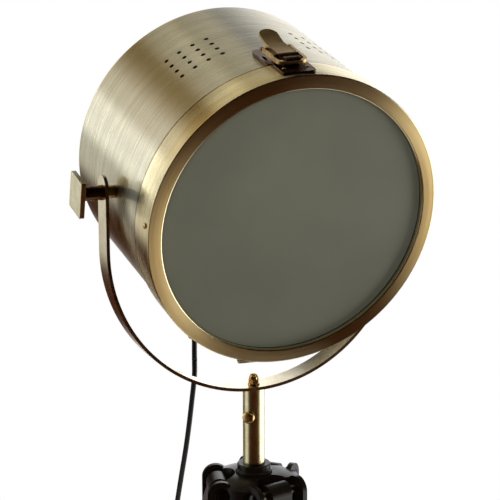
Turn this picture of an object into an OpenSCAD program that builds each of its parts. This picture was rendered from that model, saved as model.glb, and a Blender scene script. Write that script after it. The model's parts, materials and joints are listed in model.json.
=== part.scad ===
// Tripod spotlight floor lamp: a brass drum head with a hinged front ring, held in a U-shaped
// yoke on a short stem, on a black hub with three folding and sliding wooden legs.
// The head faces -Y and the floor is Z = 0.

/* [Stand] */
// Height of the head's pivot above the floor
pivot_h = 1330; // [1200:5:1450]
// Angle by which the head faces down
head_tilt = 11.25; // [5:0.25:18]
// Turn of the first leg about the stem, from the head's front
first_leg_turn = 14; // [5:1:25]
// Splay of each leg from upright
leg_splay = 16.5; // [14:0.5:19]

/* [Drum] */
// Outside radius of the drum
drum_r = 150; // [148:0.5:151]
// From the pivot down to the drum's axis
axis_drop = 2.6; // [0:0.1:5]
// Sheet thickness of the drum
drum_wall = 1.2; // [1:0.1:1.6]
// From the pivot back to the drum's rear edge
drum_back = 111.5; // [105:0.5:118]
// From the pivot forward to the seam between drum and front ring
seam_at = 69.3; // [67:0.1:72]
// Gap left open at the seam
seam_gap = 0.6; // [0.4:0.1:1]
// Length of the rim on which the front ring seats
rim_length = 9; // [6:0.5:12]
// Diameter of one vent hole
vent_d = 5; // [4:0.25:6]
// Vent holes along the drum, and the same number around it
vent_count = 4; // [3:1:5]
// Spacing of the vent holes along the drum
vent_pitch = 14.75; // [13:0.25:16]
// Angle between the vent holes around the drum
vent_step = 5.9; // [5:0.1:6.5]
// Angle from the top to the first vent hole
vent_from = 17.9; // [16:0.1:20]
// From the pivot back to the rearmost vent hole
vent_back = 38.2; // [36:0.1:42]

/* [Rear cap] */
// Sheet thickness of the rear cap and reflector
cap_wall = 1.2; // [1:0.1:1.6]
// Radius of the cap's raised middle
cap_step_r = 104; // [95:1:115]
// Height of the cap's raised middle
cap_step_h = 7; // [5:0.5:10]
// Length of the cap's skirt inside the drum
cap_skirt = 10; // [8:0.5:14]

/* [Front ring] */
// From the drum's surface out to the front ring's
ring_over = 3; // [2:0.25:4]
// Sheet thickness of the front ring
ring_wall = 1.6; // [1.2:0.1:2]
// Depth of the front ring, from the seam to its face
ring_depth = 39.5; // [37:0.5:42]
// Width of the front ring's face
ring_face = 14.5; // [13:0.25:16]
// Depth of the lip around the glass
lip_depth = 5; // [3:0.25:6]
// Thickness of the glass
glass_t = 4; // [3:0.25:5]
// Thickness of the glass's seal
seal_t = 2; // [1.5:0.1:2.5]
// Radius of the head of a front ring screw
ring_screw_r = 3.2; // [2.8:0.1:3.6]
// From the front ring's face back to its screws
ring_screw_back = 10.3; // [9:0.1:11]

/* [Front hinge] */
// From the drum's surface out to the hinge pin
hinge_out = 16; // [15:0.25:18]
// Radius of the hinge's knuckles
knuckle_r = 5.2; // [4.8:0.1:5.6]
// Width of the front ring's knuckle
ring_knuckle_w = 33; // [28:0.5:36]
// Width of each of the drum's knuckles
drum_knuckle_w = 9; // [7:0.5:11]
// Radius of the hinge pin
hinge_pin_r = 2; // [1.8:0.1:2.4]
// Turn of the hinge about the head's axis, to the left of the bottom
hinge_turn = 1.9; // [1:0.1:3]

/* [Latch] */
// Turn of the latch about the head's axis, to the left of the top
latch_turn = 1.9; // [1:0.1:3]
// Width of the latch's base
latch_w = 40; // [38:0.5:44]
// Width of the latch's lever
lever_w = 19; // [18:0.25:20]
// From the drum's surface to the lever's pin
lever_pin_up = 7.2; // [6.9:0.1:7.4]
// From the seam back to the lever's pin
lever_pin_back = 2.8; // [2.5:0.1:3.1]
// From the lever's pin back to the loop's pin
loop_throw = 24.5; // [23:0.25:26]
// Length of the lever's finger tab
tab_l = 24; // [20:0.5:28]
// Width of the latch's loop
loop_w = 32.8; // [32.4:0.1:34]
// Thickness of the loop's bar
loop_bar = 3.2; // [3:0.1:3.4]

/* [Lamp] */
// Radius of the lampholder
holder_r = 20; // [18:0.5:21]
// Length of the lampholder
holder_l = 40; // [36:0.5:44]
// Radius of the bulb's globe
globe_r = 40; // [36:0.5:44]
// Radius of the bulb's cap
bulb_cap_r = 13.1; // [12.8:0.1:13.4]
// Length of the strain relief
relief_l = 34; // [28:0.5:40]

/* [Yoke] */
// Gap between the drum and the yoke's arms
yoke_gap = 9.5; // [9:0.25:12]
// Thickness of the yoke's strip
strip_t = 3.5; // [3:0.1:4]
// Width of the yoke's strip
strip_w = 24; // [22:0.5:26]
// From the pivot down to the centre of the yoke's arc
yoke_drop = 60; // [56:0.5:64]
// From the pivot up to the end of the yoke's arm
arm_above = 17.5; // [16:0.5:20]
// Radius of the pivot studs
stud_r = 4; // [3.5:0.25:4.5]
// Radius of the spacers between drum and yoke
spacer_r = 6.5; // [6:0.25:7.5]

/* [Knobs] */
// Radius of the knob's shaft
knob_shaft_r = 7; // [6.5:0.25:8]
// Length of the knob's shaft
knob_shaft_l = 20; // [17:0.5:23]
// Width of the knob's plate
knob_plate_w = 34; // [30:0.5:38]
// Height of the knob's plate
knob_plate_h = 38; // [34:0.5:42]
// Thickness of the knob's plate
knob_plate_t = 5; // [4:0.25:6]
// Turn of the knob's plate from upright
knob_turn = 13.5; // [8:0.5:20]
// Thickness of the washer under the knob
knob_washer_t = 2.5; // [2:0.25:3]

/* [Stem] */
// Radius of the stem's tube
stem_r = 11.5; // [11:0.25:12]
// Wall of the stem's tube
stem_wall = 1.5; // [1.2:0.1:1.8]
// From the pivot down to the top of the hub
hub_top = 315.5; // [305:0.5:325]
// Radius of the stem screw's head
stem_screw_r = 6.3; // [5.5:0.1:7]
// From the pivot down to the stem screw
stem_screw_drop = 252; // [248:0.5:256]
// Direction of the stem screw, from the front toward the right
stem_screw_turn = -45; // [-60:1:-30]

/* [Hub] */
// Radius of the hub's body
hub_r = 47; // [46:0.5:49]
// Height of the hub
hub_h = 49; // [46:0.5:52]
// Height that the hub's top falls from collar to rim
hub_fall = 7; // [5:0.5:9]
// Radius of the collar
collar_r = 17.6; // [16.5:0.1:19]
// Height of the collar
collar_h = 9.5; // [8:0.5:11]
// From the stem's axis to the leg bolts
bolt_out = 38; // [37:0.25:39]
// From the hub's top down to the leg bolts
bolt_drop = 15; // [14.5:0.25:15.5]
// Radius of the leg bolts
bolt_r = 4; // [3.5:0.25:4.5]
// Inside half width of a leg's slot in the hub
slot_half = 25; // [24.5:0.25:25.5]
// Thickness of an ear beside a slot
ear_t = 5; // [4:0.25:6]
// Radius of an ear
ear_r = 14.5; // [13.5:0.25:15.5]

/* [Legs] */
// Radius of the eye of a leg's knuckle
eye_r = 12; // [11:0.25:12.5]
// Width of the eye of a leg's knuckle
eye_w = 26; // [24:0.5:26.5]
// Thickness of a side rail
rail_t = 12; // [11:0.25:12.5]
// Depth of a side rail
rail_d = 28; // [26:0.5:29]
// Length of a side rail
rail_l = 514; // [480:2:540]
// Thickness of the middle rail
slide_t = 13.4; // [12:0.2:14]
// Depth of the middle rail
slide_d = 26; // [24:0.5:26.5]
// Height of the clamp
clamp_h = 36; // [32:1:40]
// Wall of the clamp
clamp_wall = 3.6; // [3:0.2:4]
// Radius of the clamp's knob
clamp_knob_r = 15; // [13:0.5:17]
// Radius of the rubber foot
foot_r = 19; // [18:0.25:21]
// Height of the rubber foot along the leg
foot_h = 46; // [40:1:54]

/* [Cord] */
// Diameter of the cord
cord_d = 6; // [5.8:0.1:6]
// Turns in each layer of the coil
coil_turns = 2.5; // [1.5:1:2.5]
// Radius of the coil's outer turn
coil_r = 42.5; // [42:0.5:44]
// Length of the foot switch
switch_l = 70; // [66:1:74]
// Width of the foot switch
switch_w = 32; // [28:1:34]
// Height of the foot switch
switch_h = 18; // [16:0.5:20]
// Radius of the foot switch's button
button_r = 11; // [9:0.5:12]
// Travel of the foot switch's button
button_travel = 3; // [2:0.25:3.5]
// Width of the plug
plug_w = 36; // [34:0.5:37]
// Length of the plug's body
plug_l = 42; // [38:0.5:46]

/* [Hidden] */
$fn = 96;

// small clearances
fit_gap = 0.2;      // between a shaft and its hole
seat_gap = 0.05;    // between a curved face and what seats on it
slip_gap = 0.3;     // between two bodies that slide past each other

// colours
brass = "#b3a585";
warm_brass = "#a8915a";
dark_brass = "#5a4526";
polished_brass = "#c9ab5e";
black = "#1c1b1a";
wood = "#4a2f1e";

// head
drum_in = drum_r - drum_wall;
ring_back = seam_at + seam_gap / 2;
drum_end = seam_at - seam_gap / 2;
ring_front = seam_at + ring_depth;
ring_r = drum_r + ring_over;
ring_in = ring_r - ring_wall;
opening_r = ring_r - ring_face;
flange_back = drum_end - 2;
rim_r = ring_in - 4.8;
lip_back = ring_front - lip_depth;
glass_front = lip_back - seal_t;
glass_back = glass_front - glass_t;
glass_r = ring_in - 3.9;
screw_at = ring_front - ring_screw_back;
ring_screw_angles = [-140, -87, 87, 140];
cap_back = -drum_back - cap_step_h;
cap_floor = cap_back + cap_wall;
gland_r = 7;
gland_flange_t = 3;
relief_end = cap_back - gland_flange_t - relief_l;
bracket_t = 2;
bracket_w = 22;
bracket_half = 30;
holder_back = -62;
holder_floor = holder_back + 10;
holder_front = holder_back + holder_l;
neck_r = holder_r + 4;

// latch, measured from the drum's surface and along the head's axis
lever_pin_at = seam_at - lever_pin_back;
loop_pin_at = lever_pin_at - loop_throw;
latch_pin_r = 1.5;
lever_t = 2.4;
nose_r = 4.8;
lever_top = lever_pin_up + nose_r;
loop_pin_up = lever_top - 3.8;
loop_low = loop_pin_up - 1.6;
loop_front = seam_at + 15.7;
loop_clear = 0.4;
loop_round = 5;
base_from = seam_at - 45;
base_to = drum_end - 1.5;
ear_in = lever_w / 2 + 0.8;
base_ear_t = 1.9;

// hinge
hinge_r = drum_r + hinge_out;
leaf_t = 2.6;
leaf_reach = 32;
drum_leaf_w = ring_knuckle_w + 2 * drum_knuckle_w + 1;

// yoke and stem
arm_in = drum_r + yoke_gap;
yoke_r = arm_in + strip_t;
yoke_bottom = yoke_drop + yoke_r;
plate_at = yoke_r + knob_washer_t + knob_shaft_l;
washer_t = 1.5;
stem_in = stem_r - stem_wall;
stem_plug = 6;
spigot_r = stem_in - slip_gap;
spigot_room = 10.5;
spigot_up = hub_top - yoke_bottom - stem_plug - spigot_room;

bolt_seat = slot_half + ear_t;

// legs
bolt_h = pivot_h - hub_top - bolt_drop;
leg_l = bolt_h / cos(leg_splay);
foot_out = bolt_out + bolt_h * tan(leg_splay);
leg_turns = [for (i = [0:2]) first_leg_turn + 120 * i];
foot_xs = [for (t = leg_turns) foot_out * sin(t)];
foot_ys = [for (t = leg_turns) -foot_out * cos(t)];
stem_x = -(max(foot_xs) + min(foot_xs)) / 2;
stem_y = -(max(foot_ys) + min(foot_ys)) / 2;
slot_end_r = 20;
slot_end_out = 40;
neck_h = 42;
block_top = 40;
block_h = 44;
block_wall = 3.8;
rail_top = block_top + 6;
rail_from = slide_t / 2 + slip_gap;
rail_to = rail_from + rail_t;
rail_bottom = rail_top + rail_l;
clamp_half = rail_to + fit_gap + clamp_wall;
clamp_deep = rail_d / 2 + fit_gap + clamp_wall;
clamp_mid = rail_bottom - clamp_h / 2;
slide_top = 100;
slide_bottom = leg_l - 14;

// The cord's route: across, behind the stem and above the floor. It comes out of the strain
// relief, hangs behind the head, drifts back as it falls, and turns along the floor.
cord_z = cord_d / 2 + 0.05;
function behind(along) = [0, -along * cos(head_tilt) + axis_drop * sin(head_tilt),
                          pivot_h - along * sin(head_tilt) - axis_drop * cos(head_tilt)];
upper_route = [
    behind(relief_end - 0.1), behind(relief_end - 6), [0, 173, 1361], [0, 184, 1358], [0, 192, 1349.5],
    [0, 196, 1335], [0, 196, 1305], [0, 191, 1260], [0, 183, 1210], [0, 175, 1160], [0, 171, 1120],
    [0, 171, 1100], [0, 171, 1090]];
lower_route = [
    [0, 171, 1089.9], [0, 171, 1083], [0, 171, 1076], [0, 173.5, 1062], [0, 180, 1040], [0, 189, 1010],
    [0, 201, 975], [0, 216, 938], [0, 231, 900], [0, 250, 850], [0, 268, 800], [0, 296, 700], [0, 315, 600],
    [0, 326, 500], [0, 331, 400], [0, 332, 300], [0, 332, 200], [0, 332, 110], [0, 332, 60],
    [0, 332, 35], [-4, 332, 18], [-15, 332, 7], [-32, 332, cord_z], [-55, 332, cord_z],
    [-80, 330, cord_z], [-104, 324, cord_z], [-124, 310, cord_z], [-137, 292, cord_z],
    [-140, 277, 5.5], [-140, 268, 6], [-140, 260, 6]];
cord_play = 0.1;    // between the cord's end and what it goes into
switch_at = lower_route[len(lower_route) - 1] - [0, switch_l / 2 + cord_play, 0];
switch_end = switch_at[1] - switch_l / 2;
coil_at = [switch_at[0] + coil_r, 140];
coil_gap = 0.6;
coil_pitch = cord_d + coil_gap;
coil_in_r = coil_r - coil_turns * coil_pitch;
coil_lead = [for (p = [[cord_play, 6], [5, 6], [10, 6], [20, 4.3], [30, cord_z]])
    [switch_at[0], switch_end - p[0], p[1]]];
coil_steps = 24;
plug_start = 185;
plug_h = 18;

// ---------------------------------------------------------------- frames

// at the pivot, with the stem's axis as Z
module at_pivot() translate([stem_x, stem_y, pivot_h]) children();

// along the head's axis: X to the side, Y up and Z to the front
module at_head() at_pivot() rotate([90 + head_tilt, 0, 0]) translate([0, -axis_drop, 0]) children();

// on the drum's top at the latch: X to the side, Y outward and Z to the front
module at_latch() at_head() rotate([0, 0, latch_turn]) translate([0, drum_r, 0]) children();

// at the bottom of the head: Y outward from the head's axis and Z to the front
module at_hinge() at_head() rotate([0, 0, 180 - hinge_turn]) children();

// the drum's axis, seen from the latch
module at_latch_axis() translate([0, -drum_r, 0]) children();

// at one leg's bolt: X along the bolt, -Y outward and -Z down the leg
module at_leg(i)
    translate([stem_x, stem_y, bolt_h]) rotate([0, 0, leg_turns[i]])
    translate([0, -bolt_out, 0]) rotate([-leg_splay, 0, 0]) children();

// at one leg's slot, on the hub's top: X along the bolt and -Y outward
module at_slot(i)
    translate([stem_x, stem_y, pivot_h - hub_top]) rotate([0, 0, leg_turns[i]]) children();

// ---------------------------------------------------------------- shapes

// points of an arc, from one angle to another
function arc(c, r, from, to, steps) =
    [for (i = [0:steps]) let (a = from + (to - from) * i / steps) c + r * [cos(a), sin(a)]];

// a rectangle with round corners, centred
module round_rect(size, r) {
    square([size[0] - 2 * r, size[1]], center = true);
    square([size[0], size[1] - 2 * r], center = true);
    for (x = [-1, 1], y = [-1, 1])
        translate([x * (size[0] / 2 - r), y * (size[1] / 2 - r)]) circle(r, $fn = 32);
}

// an extrusion along X, centred, of an outline drawn as [Z, Y]
module along_x(width) rotate([0, -90, 0]) linear_extrude(width, center = true) children();

// a flat plate drawn as [X, Z], from one height to another
module flat(from, to) translate([0, to, 0]) rotate([90, 0, 0]) linear_extrude(to - from) children();

// a rod or ring along X
module rod_x(r, from, to, bore = 0)
    translate([from, 0, 0]) rotate([0, 90, 0]) difference() {
        cylinder(r = r, h = to - from);
        if (bore > 0) translate([0, 0, -1]) cylinder(r = bore, h = to - from + 2);
    }

// ---------------------------------------------------------------- tubes

function unit(v) = v / norm(v);

// tangents along a list of points
function tangents(p) = [for (i = [0:len(p) - 1])
    unit(p[min(i + 1, len(p) - 1)] - p[max(i - 1, 0)])];

// normals that turn no more than the path does
function normals(t, i = 0, n = [1, 0, 0.02]) =
    let (m = unit(n - (n * t[i]) * t[i]))
    i == len(t) - 1 ? [m] : concat([m], normals(t, i + 1, m));

// a smooth line through points, with steps between each two
function smooth(p, steps) = concat([for (i = [0:len(p) - 2], k = [0:steps - 1])
    let (a = p[max(i - 1, 0)], b = p[i], c = p[i + 1], d = p[min(i + 2, len(p) - 1)], t = k / steps)
    0.5 * (2 * b + (c - a) * t + (2 * a - 5 * b + 4 * c - d) * t * t
        + (3 * b - a - 3 * c + d) * t * t * t)], [p[len(p) - 1]]);

function path_length(p, i = 0) = i >= len(p) - 1 ? 0 : norm(p[i + 1] - p[i]) + path_length(p, i + 1);

// a tube of flat sides around a path
module tube(p, r, sides) {
    t = tangents(p);
    n = normals(t);
    rings = len(p);
    points = [for (i = [0:rings - 1], k = [0:sides - 1])
        let (a = 360 * (k + 0.5) / sides) p[i] + r * (cos(a) * n[i] + sin(a) * cross(t[i], n[i]))];
    walls = [for (i = [0:rings - 2], k = [0:sides - 1])
        let (a = i * sides + k, b = i * sides + (k + 1) % sides) each
        [[a, a + sides, b], [b, a + sides, b + sides]]];
    start = [for (k = [1:sides - 2]) [0, k, k + 1]];
    last = (rings - 1) * sides;
    end = [for (k = [1:sides - 2]) [last, last + k + 1, last + k]];
    polyhedron(points, concat(walls, start, end));
}

// ---------------------------------------------------------------- head

module drum_shell() {
    color(brass) at_head() difference() {
        rotate_extrude() polygon([
            [drum_in, -drum_back], [drum_r, -drum_back], [drum_r, drum_end],
            [rim_r, drum_end], [rim_r, drum_end + rim_length], [rim_r - drum_wall, drum_end + rim_length],
            [rim_r - drum_wall, flange_back], [drum_in, flange_back]]);
        for (side = [-1, 1], i = [0:vent_count - 1], k = [0:vent_count - 1])
            rotate([0, 0, side * (vent_from + vent_step * i)])
            translate([0, drum_in - 2, vent_pitch * k - vent_back])
            rotate([-90, 0, 0]) cylinder(d = vent_d, h = drum_wall + 4, $fn = 24);
        for (side = [0, 180]) translate([0, axis_drop, 0]) rotate([0, 0, side])
            rod_x(stud_r + fit_gap, drum_in - 2, drum_r + 2);
    }
}

module rear_cap() {
    edge = drum_in - fit_gap;
    color(brass) at_head() rotate_extrude() polygon([
        [gland_r + fit_gap, cap_back], [cap_step_r, cap_back], [cap_step_r, -drum_back],
        [edge, -drum_back], [edge, cap_skirt - drum_back], [edge - cap_wall, cap_skirt - drum_back],
        [edge - cap_wall, cap_wall - drum_back], [cap_step_r - cap_wall, cap_wall - drum_back],
        [cap_step_r - cap_wall, cap_floor], [gland_r + fit_gap, cap_floor]]);
}

// the bowl widens from its neck as a parabola, and its flange seats on the drum's
module reflector() {
    bowl_r = rim_r - 6;
    bowl_back = -46;
    bowl_front = flange_back - cap_wall;
    steps = 14;
    bowl = [for (i = [0:steps]) let (u = i / steps)
        [neck_r + (bowl_r - neck_r) * u, bowl_back + (bowl_front - bowl_back) * u * u]];
    flange_r = drum_in - 0.5;
    color("#c8c8c4") at_head() rotate_extrude() polygon(concat(
        bowl, [[flange_r, bowl_front], [flange_r, flange_back], [bowl_r - cap_wall, flange_back]],
        [for (i = [steps - 1:-1:0]) bowl[i] + [0, cap_wall]]));
}

module lampholder_bracket() {
    foot_w = 14;
    deep = holder_back - cap_floor;
    color("#9a9a96") at_head() difference() {
        union() {
            translate([-bracket_half, -bracket_w / 2, holder_back - bracket_t])
                cube([2 * bracket_half, bracket_w, bracket_t]);
            for (side = [-1, 1]) {
                translate([side * bracket_half - (side + 1) / 2 * bracket_t, -bracket_w / 2, cap_floor])
                    cube([bracket_t, bracket_w, deep]);
                translate([side * (bracket_half + foot_w / 2) - foot_w / 2 - side * bracket_t,
                           -bracket_w / 2, cap_floor])
                    cube([foot_w, bracket_w, bracket_t]);
            }
        }
        translate([0, 0, holder_back - bracket_t - 1]) cylinder(r = 5, h = bracket_t + 2);
    }
}

module lampholder() {
    color("#2a2826") at_head() rotate_extrude() polygon([
        [0, holder_back], [holder_r - 1.5, holder_back], [holder_r, holder_back + 1.5],
        [holder_r, holder_front - 8], [holder_r - 2, holder_front - 7], [holder_r - 2, holder_front],
        [bulb_cap_r + slip_gap, holder_front], [bulb_cap_r + slip_gap, holder_floor], [0, holder_floor]]);
}

module bulb() {
    cap_end = holder_front + 1;
    globe_at = holder_front + globe_r;
    neck_end = 42;
    color("#ece7da") at_head() rotate_extrude() polygon(concat(
        [[0, holder_floor], [bulb_cap_r, holder_floor], [bulb_cap_r, cap_end]],
        arc([0, globe_at], globe_r, neck_end - 90, 90, 14)));
}

module terminal_block()
    color("#d8d5c8") at_head() translate([-15, -56, cap_floor]) difference() {
        cube([30, 18, 14]);
        for (x = [5, 15, 25]) translate([x, 9, 5]) cylinder(r = 2.2, h = 10, $fn = 24);
    }

module cable_gland() {
    flange_back_z = cap_back - gland_flange_t;
    rib = 4;
    ribs = floor((relief_l - 6) / rib);
    // the relief narrows from its flange to the cord, with a groove after each rib
    grooves = [for (i = [0:ribs - 1]) let (z = flange_back_z - 2 - i * rib, r = 7.6 - 2.8 * i / ribs) each
        [[r, z], [r, z - rib * 0.6], [r - 1, z - rib * 0.6], [r - 1, z - rib]]];
    color(black) at_head() rotate_extrude() polygon(concat(
        [[0, cap_floor + 5], [9.5, cap_floor + 5], [9.5, cap_floor], [gland_r, cap_floor],
         [gland_r, cap_back], [11, cap_back], [11, flange_back_z]],
        grooves, [[cord_d / 2 + 1.3, relief_end], [0, relief_end]]));
}

module pivot_studs()
    color(dark_brass) at_pivot() for (side = [0, 180]) rotate([0, 0, side]) {
        rod_x(stud_r, drum_in - 2.5, plate_at - 5);
        rod_x(9, drum_in - 3, drum_in - 0.6);
    }

module pivot_spacers()
    color(dark_brass) at_pivot() for (side = [0, 180]) rotate([0, 0, side])
        rod_x(spacer_r, drum_r + 0.1, arm_in, stud_r + fit_gap);

// ---------------------------------------------------------------- front hinge

// one leaf: a curved plate on the shell, and an arm out to a knuckle around the pin
module hinge_leaf(shell_r, from, to, width, arm_from, arm_to, spans) {
    difference() {
        union() {
            intersection() {
                cylinder(r = shell_r + leaf_t, h = 4 * shell_r, center = true);
                translate([-width / 2, 0, from]) cube([width, shell_r + 20, to - from]);
            }
            for (span = spans) translate([(span[0] + span[1]) / 2, 0, 0]) {
                along_x(span[1] - span[0]) polygon([
                    [arm_from, shell_r], [arm_to, shell_r],
                    [seam_at + 4.4, hinge_r + 1], [seam_at - 4.4, hinge_r + 1]]);
                translate([0, hinge_r, seam_at]) rotate([0, 90, 0])
                    cylinder(r = knuckle_r, h = span[1] - span[0], center = true);
            }
        }
        cylinder(r = shell_r + seat_gap, h = 6 * shell_r, center = true);
        translate([0, hinge_r, seam_at]) rod_x(hinge_pin_r + fit_gap, -100, 100);
    }
}

module drum_hinge_leaf() {
    inner = ring_knuckle_w / 2 + 0.5;
    outer = drum_leaf_w / 2;
    color(dark_brass) at_hinge()
        hinge_leaf(drum_r, seam_at - leaf_reach, drum_end - 1, drum_leaf_w, seam_at - 14, drum_end - 1,
                   [[-outer, -inner], [inner, outer]]);
}

module ring_hinge_leaf()
    color(warm_brass) at_hinge()
        hinge_leaf(ring_r, ring_back + 1, seam_at + 29, ring_knuckle_w, ring_back + 1, seam_at + 14,
                   [[-ring_knuckle_w / 2, ring_knuckle_w / 2]]);

module hinge_and_latch_pins() {
    color("#8f8a7c") at_hinge() translate([0, hinge_r, seam_at])
        rod_x(hinge_pin_r, -drum_leaf_w / 2 - 1, drum_leaf_w / 2 + 1);
    pin_half = ear_in + base_ear_t + 0.4;
    color("#8f8a7c") at_latch() translate([0, lever_pin_up, lever_pin_at])
        rod_x(latch_pin_r, -pin_half, pin_half);
}

// ---------------------------------------------------------------- latch

module latch_base() {
    length = base_to - base_from;
    plate_t = 1.8;
    pin_ear_r = 4.2;
    color(dark_brass) at_latch() difference() {
        union() {
            translate([0, 0, (base_from + base_to) / 2]) flat(-3, plate_t) round_rect([latch_w, length], 7);
            for (side = [-1, 1]) translate([side * (ear_in + base_ear_t / 2), 0, lever_pin_at])
                along_x(base_ear_t) {
                    translate([0, lever_pin_up]) circle(r = pin_ear_r, $fn = 32);
                    translate([-pin_ear_r, 0]) square([pin_ear_r + base_to - lever_pin_at, lever_pin_up]);
                }
            // a step that stops the lever's plate
            translate([3 - lever_w / 2, 0, base_from + 24])
                cube([lever_w - 6, lever_top - lever_t - 0.3, 8]);
        }
        at_latch_axis() cylinder(r = drum_r + seat_gap, h = 2 * drum_r, center = true, $fn = 360);
        translate([0, lever_pin_up, lever_pin_at]) rod_x(latch_pin_r + 0.1, -40, 40);
        for (side = [-1, 1]) translate([side * (latch_w / 2 - 4.5), 0, base_from + 26])
            flat(-4, 8) round_rect([3, 11], 1.4);
    }
}

// the lever's plate lies flat, and its finger tab rises behind it
module latch_lever() {
    plate_from = loop_pin_at - 5;
    tab_rise = 6;
    tab_end = plate_from - tab_l;
    side_t = 1.6;
    color(warm_brass) at_latch() difference() {
        union() {
            intersection() {
                along_x(lever_w) polygon([
                    [lever_pin_at, lever_top], [plate_from, lever_top], [tab_end, lever_top + tab_rise],
                    [tab_end, lever_top + tab_rise - lever_t], [plate_from, lever_top - lever_t],
                    [lever_pin_at, lever_top - lever_t]]);
                flat(0, 60) {
                    translate([-lever_w / 2, plate_from - tab_l / 2]) square([lever_w, 120]);
                    translate([0, tab_end + lever_w / 2]) circle(lever_w / 2, $fn = 48);
                    translate([-lever_w / 2, tab_end + lever_w / 2]) square([lever_w, tab_l]);
                }
            }
            for (side = [-1, 1]) translate([side * (lever_w - side_t) / 2, 0, 0]) along_x(side_t) {
                translate([lever_pin_at, lever_pin_up]) circle(nose_r, $fn = 48);
                translate([loop_pin_at - 4, loop_pin_up - 2.2])
                    square([loop_throw + 4, lever_top - loop_pin_up + 1]);
            }
            translate([0, lever_pin_up, lever_pin_at]) intersection() {
                rod_x(nose_r, -lever_w / 2, lever_w / 2);
                translate([-30, 0, -1]) cube([60, 30, 30]);
            }
            translate([0, loop_pin_up, loop_pin_at]) rod_x(latch_pin_r, -loop_w / 2 - 0.6, loop_w / 2 + 0.6);
        }
        translate([0, lever_pin_up, lever_pin_at]) rod_x(latch_pin_r + fit_gap, -40, 40);
    }
}

module latch_loop() {
    rear = loop_pin_at - 3.2;
    length = loop_front - rear;
    color(dark_brass) at_latch() difference() {
        flat(loop_low, loop_low + loop_bar) difference() {
            translate([0, rear + length / 2 - 5]) round_rect([loop_w, length + 10], loop_round + loop_bar);
            translate([0, rear + length / 2 - 9])
                round_rect([loop_w - 2 * loop_bar, length + 10], loop_round);
            translate([0, rear - 10]) square([60, 20], center = true);
        }
        translate([0, loop_pin_up, loop_pin_at]) rod_x(latch_pin_r + fit_gap, -40, 40);
    }
}

// the loop's front bar pulls on the catch's hook, under its lip
module latch_catch() {
    bar_back = loop_front - 4;
    hook_half = loop_w / 2 - loop_bar - loop_round;
    surface = ring_r - drum_r;
    loop_top = loop_low + loop_bar;
    plate_from = ring_back + 1.2;
    plate_to = ring_front - 8;
    color(dark_brass) at_latch() difference() {
        union() {
            translate([0, 0, (plate_from + plate_to) / 2])
                flat(0, surface + 1.6) round_rect([latch_w - 5, plate_to - plate_from], 4);
            along_x(2 * hook_half) polygon([
                [bar_back - 4, surface], [bar_back - loop_clear, surface],
                [bar_back - loop_clear, loop_top + loop_clear], [bar_back + 4, loop_top + loop_clear],
                [bar_back + 4, loop_top + 1.6], [bar_back + 2.5, loop_top + 2.2],
                [bar_back - 4, loop_top + 2.2]]);
        }
        at_latch_axis() cylinder(r = ring_r + seat_gap, h = 3 * ring_r, center = true, $fn = 360);
    }
}

// ---------------------------------------------------------------- front ring

module front_ring() {
    corner = 2;
    color(warm_brass) at_head() difference() {
        rotate_extrude() polygon(concat(
            [[ring_in, ring_back], [ring_r, ring_back]],
            arc([ring_r - corner, ring_front - corner], corner, 0, 90, 5),
            [[opening_r, ring_front], [opening_r, lip_back], [opening_r + 1.2, lip_back],
             [opening_r + 1.2, ring_front - ring_wall], [ring_in, ring_front - ring_wall]]));
        for (a = ring_screw_angles) rotate([0, 0, a - 90]) translate([0, 0, screw_at])
            rotate([0, 0, 180]) rod_x(1.8, ring_in - 3, ring_r + 3);
    }
}

module front_glass()
    color("#74766a") at_head() translate([0, 0, glass_back]) cylinder(r = glass_r, h = glass_t);

module glass_seal()
    color(black) at_head() rotate_extrude() polygon([
        [opening_r, glass_front], [glass_r, glass_front], [glass_r, lip_back], [opening_r, lip_back]]);

// each clip reaches behind the glass and is held by a screw through the ring's side
module glass_clips() {
    leg_t = 1.4;
    wide = 14;
    outer = ring_in - 0.3;
    color("#9a9a96") at_head() for (a = ring_screw_angles) rotate([0, 0, a - 90]) rotate([0, 0, 180])
        difference() {
            rotate([90, 0, 0]) linear_extrude(wide, center = true) polygon([
                [outer, glass_back - 4], [outer, screw_at + 4], [outer - leg_t, screw_at + 4],
                [outer - leg_t, glass_back], [glass_r - 6, glass_back], [glass_r - 6, glass_back - leg_t],
                [outer - leg_t, glass_back - 4]]);
            translate([0, 0, screw_at]) rod_x(1.7, outer - 5, outer + 5);
        }
}

module ring_screws() {
    head_h = 2;
    color(polished_brass) at_head() for (a = ring_screw_angles)
        rotate([0, 0, a - 90]) rotate([0, 0, 180]) translate([ring_r + 0.01, 0, screw_at])
        rotate([0, 90, 0]) rotate_extrude() polygon(concat(
            [[0, -ring_wall - 1.6], [1.5, -ring_wall - 1.6], [1.5, 0], [ring_screw_r, 0]],
            [for (i = [1:5]) [ring_screw_r * cos(18 * i), head_h * sin(18 * i)]]));
}

// ---------------------------------------------------------------- yoke and stem

module yoke_strip() {
    arm = yoke_drop + arm_above - strip_w / 2;
    color(brass) at_pivot() difference() {
        union() {
            intersection() {
                translate([0, 0, -yoke_drop]) rotate([90, 0, 0]) difference() {
                    cylinder(r = yoke_r, h = strip_w, center = true, $fn = 180);
                    cylinder(r = arm_in, h = strip_w + 2, center = true, $fn = 180);
                }
                translate([-yoke_r - 10, -strip_w, -yoke_bottom - 10])
                    cube([2 * yoke_r + 20, 2 * strip_w, yoke_r + 10]);
            }
            for (side = [0, 180]) rotate([0, 0, side]) {
                translate([arm_in, -strip_w / 2, -yoke_drop]) cube([strip_t, strip_w, arm]);
                translate([0, 0, arm_above - strip_w / 2]) rod_x(strip_w / 2, arm_in, yoke_r);
            }
        }
        for (side = [0, 180]) rotate([0, 0, side]) rod_x(stud_r + slip_gap, arm_in - 2, yoke_r + 2);
        translate([0, 0, -yoke_bottom - 5]) cylinder(r = 3.3, h = 20);
    }
}

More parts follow.
